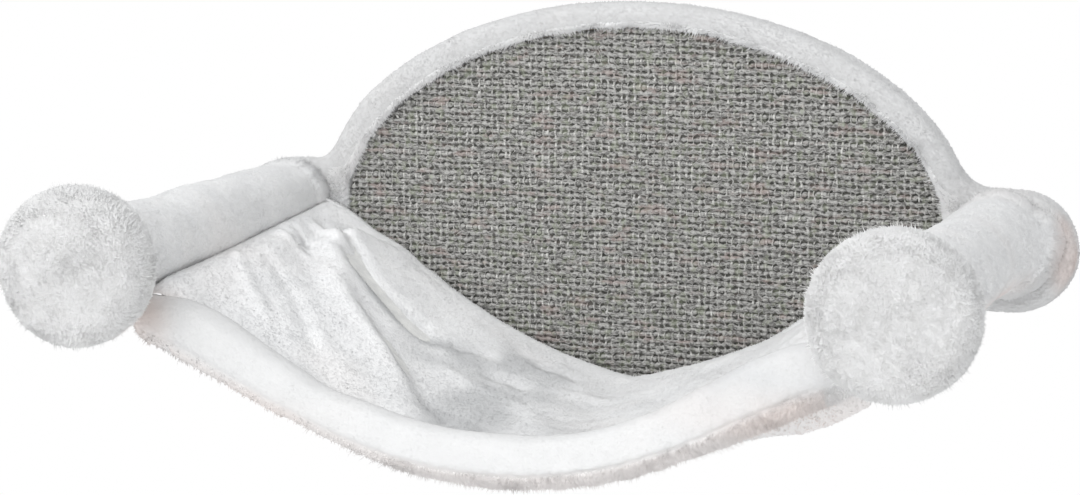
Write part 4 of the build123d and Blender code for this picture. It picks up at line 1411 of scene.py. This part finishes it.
def puff(name, grid):
    """The grid blown up as a stuffed bag of cloth, each point moved by a largest step at most."""
    faces, places = grid_faces(grid, True, False)
    bag = add_mesh(name, grid.reshape(-1, 3), [(faces, places)], PLUSH)
    cloth = bag.modifiers.new("fill", "CLOTH")
    cloth.settings.use_pressure = True
    cloth.settings.uniform_pressure_force = BAG_PRESSURE
    cloth.settings.effector_weights.gravity = 0
    cloth.settings.quality = BAG_QUALITY
    cloth.settings.mass = BAG_MASS
    cloth.settings.tension_stiffness = BAG_STIFFNESS
    cloth.settings.compression_stiffness = BAG_STIFFNESS
    cloth.settings.bending_stiffness = BAG_BENDING
    cloth.collision_settings.use_collision = False
    cloth.point_cache.frame_end = BAG_STEPS
    scene = bpy.context.scene
    for step in range(1, BAG_STEPS + 1):
        scene.frame_set(step)
    ready = bag.evaluated_get(bpy.context.evaluated_depsgraph_get())
    moved = np.array([v.co for v in ready.data.vertices]) / MM
    scene.frame_set(1)
    bpy.data.objects.remove(bag)
    shift = moved.reshape(grid.shape) - grid
    size = np.linalg.norm(shift, axis=-1, keepdims=True)
    return grid + shift * np.minimum(1, BAG_LARGEST_MOVE / np.maximum(size, LEAST_LENGTH))


def refine(grid, rows, columns):
    """The same tube with more rows and columns, on smooth lines through its points."""
    old = np.arange(grid.shape[0])
    at = np.linspace(0, old[-1], rows)
    tall = [smooth_through(at, old, grid[:, j, k]) for j in range(grid.shape[1]) for k in range(3)]
    tall = np.stack(tall, 1).reshape(rows, grid.shape[1], 3)
    looped = np.concatenate([tall[:, -2:], tall, tall[:, :3]], 1)
    keys = np.arange(-2, grid.shape[1] + 3)
    at = np.linspace(0, grid.shape[1], columns, endpoint=False)
    wide = [smooth_through(at, keys, looped[i, :, k]) for i in range(rows) for k in range(3)]
    return np.stack(wide, 1).reshape(columns, rows, 3).transpose(1, 0, 2)


def along_share(x, start, start_fade, end, end_fade):
    """1 between two places along the sling, with a soft start and end."""
    return ease((x - start) / start_fade) * ease((end - x) / end_fade)


def bolster_grid():
    """The padded front roll, puffed up."""
    across = np.linspace(-1, 1, BAG_ROWS)
    drop, height = bolster_line(across)
    distance = SLING_FRONT + BOLSTER_GAP + BOLSTER_BACK_SHARE * height
    path = np.stack([across * BOLSTER_HALF_LENGTH, -distance, -drop], 1)
    outline = closed_outline(BOLSTER_OUTLINE_SHARES, BAG_POINTS_ROUND)
    grid = tube_grid(path, outline, height * BOLSTER_SIZE_SHARE)
    grid = puff("bolster_bag", grid)
    grid = refine(grid, BOLSTER_ROWS, BOLSTER_POINTS_ROUND)
    crest = CREST_RISE * along_share(grid[..., 0], CREST_START, CREST_START_FADE, CREST_END, CREST_END_FADE)
    above = grid[..., 2] - grid[..., 2].mean(1, keepdims=True)
    grid[..., 2] += crest * ease((above - CREST_LEVEL) / CREST_LEVEL_FADE)
    return grid


def bolster():
    """The front roll with its seam and the narrow gathered band under it, its fringe and its filling."""
    grid = bolster_grid()
    x = grid[..., 0]
    place = np.arange(BOLSTER_POINTS_ROUND) / BOLSTER_POINTS_ROUND * len(BOLSTER_OUTLINE_SHARES)
    band = ease((place - SEAM_PLACE) / BAND_FADE) * ease((BAND_END - place) / BAND_END_FADE)
    gathered = along_share(x, GATHERED_START, GATHERED_START_FADE, GATHERED_END, GATHERED_END_FADE)
    ribs = BAND_RIB_DEPTH * np.sin(2 * pi * x / BAND_RIB_PITCH + uneven(grid, BAND_RIB_LUMPS))
    gathers = (uneven(grid, BAND_LUMPS) + ribs) * band
    gathers = gathers * (BAND_PLAIN_SHARE + (1 - BAND_PLAIN_SHARE) * gathered)
    puckers = np.sin(x * PUCKER_TURN + uneven(grid, PUCKER_LUMPS)) * hump(place - PUCKER_PLACE, PUCKER_WIDTH)
    seam = (SEAM_DEPTH + SEAM_GATHERED_DEPTH * gathered) * hump(place - SEAM_PLACE, SEAM_WIDTH)
    relief = uneven(grid, *BOLSTER_LUMPS) + gathers + puckers * PUCKER_DEPTH * gathered - seam
    grid = close_ends(swell(grid, relief, True))
    made = skin("front_bolster_roll", grid, BOLSTER_PLUSH, wrap=True, tufts=BOLSTER_TUFTS)
    finish_piece(made, "plush", "front_bolster_cover")
    right = along_share(grid[..., 0], FRINGE_START, FRINGE_START_FADE, FRINGE_END, FRINGE_END_FADE)
    tufts = dict(FRINGE_TUFTS, where=band[None] * (FRINGE_LEAST + right))
    finish_piece(tuft_piece("front_bolster_fringe", grid, True, False, PLUSH, tufts), "plush")
    wadding_piece("front_bolster_wadding", "front_bolster_filling")


rear_hem()
bolster()


# End discs

# Its back has an opening for the arm, whose edge turns in, and its outline rolls round to a crowned front
DISC_RADIUS, DISC_BACK, DISC_FRONT = 44.0, 295.0, 330.0
DISC_BACK_OPENING, OPENING_INSET, OPENING_DEPTH, OPENING_EDGE = 26.0, 1, 2.5, 0.6
BACK_LEVEL, BACK_FLAT_START, BACK_ROUND = 0.2, 2, 7
FRONT_ROUND, FRONT_ROUND_DEPTH, CROWN = 12, 11, 2
DISC_BACK_ROWS, DISC_BACK_ROUND_ROWS, DISC_SIDE_ROWS, DISC_FRONT_ROUND_ROWS, DISC_CROWN_ROWS = 8, 7, 8, 12, 16
CROWN_CENTRE_SHARE = 0.0005
DISC_POINTS_ROUND = 150
DISC_LUMPS, DISC_LUMP_SEEDS = ((0.35, 24), (0.3, 8), (0.3, 4)), (111, 113, 115)
DISC_PILE_DEPTH, DISC_BACK_FADE, DISC_BACK_START, DISC_BACK_PILE_SHARE = 2.2, 4, 0.5, 0.15
DISC_EDGE_FADE, DISC_EDGE_START, EDGE_LEAST_SHARE = 6, 6, 0.35
EDGE_CLUMP, EDGE_CLUMP_SEED, EDGE_CLUMP_SHIFT = 5, 131, 0.4
DISC_TUFT_SEED, DISC_EDGE_SEED = 121, 133
DISC_TUFTS = dict(
    count=54000, length=1.1, width=1.9, lean=0.9, stray=0.25, round_off=0.13, facing=(0, -0.5, 0.1)
)
DISC_EDGE_TUFTS = dict(count=9000, length=2.1, width=2.1, lean=0.8, stray=0.06, facing=(0, -0.9, 0.2))


def disc_profile():
    """Radius and distance from the wall along the disc's outline: back opening, rolled rim, crowned front."""
    back, front = DISC_BACK + BACK_LEVEL, DISC_FRONT - CROWN
    profile = [
        (DISC_BACK_OPENING - OPENING_INSET, DISC_BACK + OPENING_DEPTH),
        (DISC_BACK_OPENING, DISC_BACK + OPENING_EDGE),
    ]
    for radius in np.linspace(DISC_BACK_OPENING + BACK_FLAT_START, DISC_RADIUS - BACK_ROUND, DISC_BACK_ROWS):
        profile.append((radius, back))
    for turn in np.linspace(0, pi / 2, DISC_BACK_ROUND_ROWS)[1:]:
        radius = DISC_RADIUS - BACK_ROUND + BACK_ROUND * sin(turn)
        profile.append((radius, back + BACK_ROUND * (1 - cos(turn))))
    round_start = front - FRONT_ROUND_DEPTH
    for distance in np.linspace(DISC_BACK + BACK_ROUND, round_start, DISC_SIDE_ROWS)[1:]:
        profile.append((DISC_RADIUS, distance))
    for turn in np.linspace(0, pi / 2, DISC_FRONT_ROUND_ROWS)[1:]:
        radius = DISC_RADIUS - FRONT_ROUND + FRONT_ROUND * cos(turn)
        profile.append((radius, round_start + FRONT_ROUND_DEPTH * sin(turn)))
    for share in np.linspace(1, CROWN_CENTRE_SHARE, DISC_CROWN_ROWS)[1:]:
        profile.append(((DISC_RADIUS - FRONT_ROUND) * share, front + CROWN * (1 - share**2)))
    return np.array(profile).T[..., None]


def disc(name, side):
    """The tufted end disc, with a fringe round its front edge."""
    radius, distance = disc_profile()
    turn = np.linspace(0, 2 * pi, DISC_POINTS_ROUND, endpoint=False)
    grid = ring(side, radius, turn, distance)
    free = ease((distance - DISC_BACK - DISC_BACK_START) / DISC_BACK_FADE)
    layers = [(*lump, seed + side) for lump, seed in zip(DISC_LUMPS, DISC_LUMP_SEEDS)]
    grid = swell(grid, (uneven(grid, *layers) - DISC_PILE_DEPTH) * free, True)
    where = np.repeat(DISC_BACK_PILE_SHARE + (1 - DISC_BACK_PILE_SHARE) * free, len(turn), 1)
    where[:2] = 0
    tufts = dict(DISC_TUFTS, seed=DISC_TUFT_SEED + side, where=where)
    made = skin(f"{name}_disc_plush", grid, DISC_PLUSH, wrap=True, tufts=tufts)
    finish_piece(made, "disc_plush", f"{name}_disc_cover", body=f"{name}_disc")
    edge = ease((radius - DISC_RADIUS + FRONT_ROUND) / DISC_EDGE_FADE)
    edge = edge * ease((distance - DISC_BACK - DISC_EDGE_START) / DISC_EDGE_FADE)
    clumps = ease(lumps(grid, EDGE_CLUMP, EDGE_CLUMP_SEED + side) + EDGE_CLUMP_SHIFT)
    tufts = dict(DISC_EDGE_TUFTS, seed=DISC_EDGE_SEED + side, where=edge * (EDGE_LEAST_SHARE + clumps))
    fringe = tuft_piece(f"{name}_disc_fringe", grid, True, False, DISC_PLUSH, tufts)
    finish_piece(fringe, "disc_plush", body=f"{name}_disc")
    wadding_piece(f"{name}_disc_fill", f"{name}_disc_wadding", DISC_WADDING_CELL, body=f"{name}_disc")


for name, side in SIDES:
    disc(name, side)
wadding_piece("border_wadding", "rim_padding")


# Parts from the frame

STEEL_PARTS = (
    "cover_staples",
    "left_hanger_plate",
    "right_hanger_plate",
    "hanger_screws",
    "arm_washers",
    "arm_bolts",
    "left_disc_stud",
    "right_disc_stud",
)
PART_FINISHES = (
    (FIBREBOARD, ("back_board",)),
    (STEEL, STEEL_PARTS),
    (PINE, ("left_bar", "right_bar", "left_disc_core", "right_disc_core")),
    (BRASS, ("rear_inserts", "front_inserts")),
)
for finish, part_names in PART_FINISHES:
    for part_name in part_names:
        materials = nodes[part_name].data.materials
        materials.clear()
        materials.append(finish)


# Camera, floor and light, in metres

EYE = Vector((0.5285, -1.6937, 0.2445))
YAW, PITCH, ROLL = 0.3388, 0.1492, 0.0025
FOCAL_LENGTH, SENSOR_WIDTH = 96.61, 36
FLOOR_HALF, FLOOR_LEVEL = 25.0, -0.6
SKY, SKY_STRENGTH = (0.98, 0.99, 1, 1), 0.88
LIGHT_TARGET = Vector((0, -0.15, 0))
# Name, place, size and power of each light
LIGHTS = (
    ("key", (-1.4, -1.2, 1.9), 1.2, 14),
    ("front_fill", (-0.3, -2.9, 1.2), 2.0, 26),
    ("low_fill", (0.9, -2.3, -0.35), 1.6, 13),
)


def add_camera():
    camera = bpy.data.objects.new("camera", bpy.data.cameras.new("camera"))
    bpy.context.scene.collection.objects.link(camera)
    camera.data.lens = FOCAL_LENGTH
    camera.data.sensor_width = SENSOR_WIDTH
    ahead = Vector((-sin(YAW) * cos(PITCH), cos(YAW) * cos(PITCH), -sin(PITCH)))
    level = Vector((cos(YAW), sin(YAW), 0))
    up = level.cross(ahead)
    right = level * cos(ROLL) + up * sin(ROLL)
    over = up * cos(ROLL) - level * sin(ROLL)
    turned = Matrix((right, over, -ahead)).transposed()
    camera.matrix_world = Matrix.Translation(EYE) @ turned.to_4x4()
    bpy.context.scene.camera = camera


def add_floor():
    """A wide floor that the camera sees as plain white."""
    mesh = bpy.data.meshes.new("floor")
    corners = ((-1, -1), (1, -1), (1, 1), (-1, 1))
    mesh.from_pydata([(x * FLOOR_HALF, y * FLOOR_HALF, FLOOR_LEVEL) for x, y in corners], [], [(0, 1, 2, 3)])
    made, tree, shader = new_material("studio_floor", roughness=0.9)
    shader.inputs["Base Color"].default_value = grey(0.8)
    glow = node(tree, "ShaderNodeEmission", Color=grey(1), Strength=1.0)
    seen = tree.nodes.new("ShaderNodeLightPath").outputs["Is Camera Ray"]
    shown = tree.nodes.new("ShaderNodeMixShader")
    for socket, value in zip(shown.inputs, (seen, shader.outputs[0], glow.outputs[0])):
        tree.links.new(value, socket)
    tree.links.new(shown.outputs[0], tree.nodes["Material Output"].inputs["Surface"])
    mesh.materials.append(made)
    floor = bpy.data.objects.new("floor", mesh)
    bpy.context.scene.collection.objects.link(floor)


def add_light(name, place, size, power):
    light = bpy.data.objects.new(name, bpy.data.lights.new(name, "AREA"))
    bpy.context.scene.collection.objects.link(light)
    light.location = place
    light.rotation_euler = (LIGHT_TARGET - Vector(place)).to_track_quat("-Z", "Y").to_euler()
    light.data.size = size
    light.data.energy = power


def add_world():
    world = bpy.data.worlds.new("studio")
    world.use_nodes = True
    background = world.node_tree.nodes["Background"]
    background.inputs["Color"].default_value = SKY
    background.inputs["Strength"].default_value = SKY_STRENGTH
    bpy.context.scene.world = world
    bpy.context.scene.view_settings.view_transform = "Standard"


add_camera()
add_floor()
add_world()
for light in LIGHTS:
    add_light(*light)
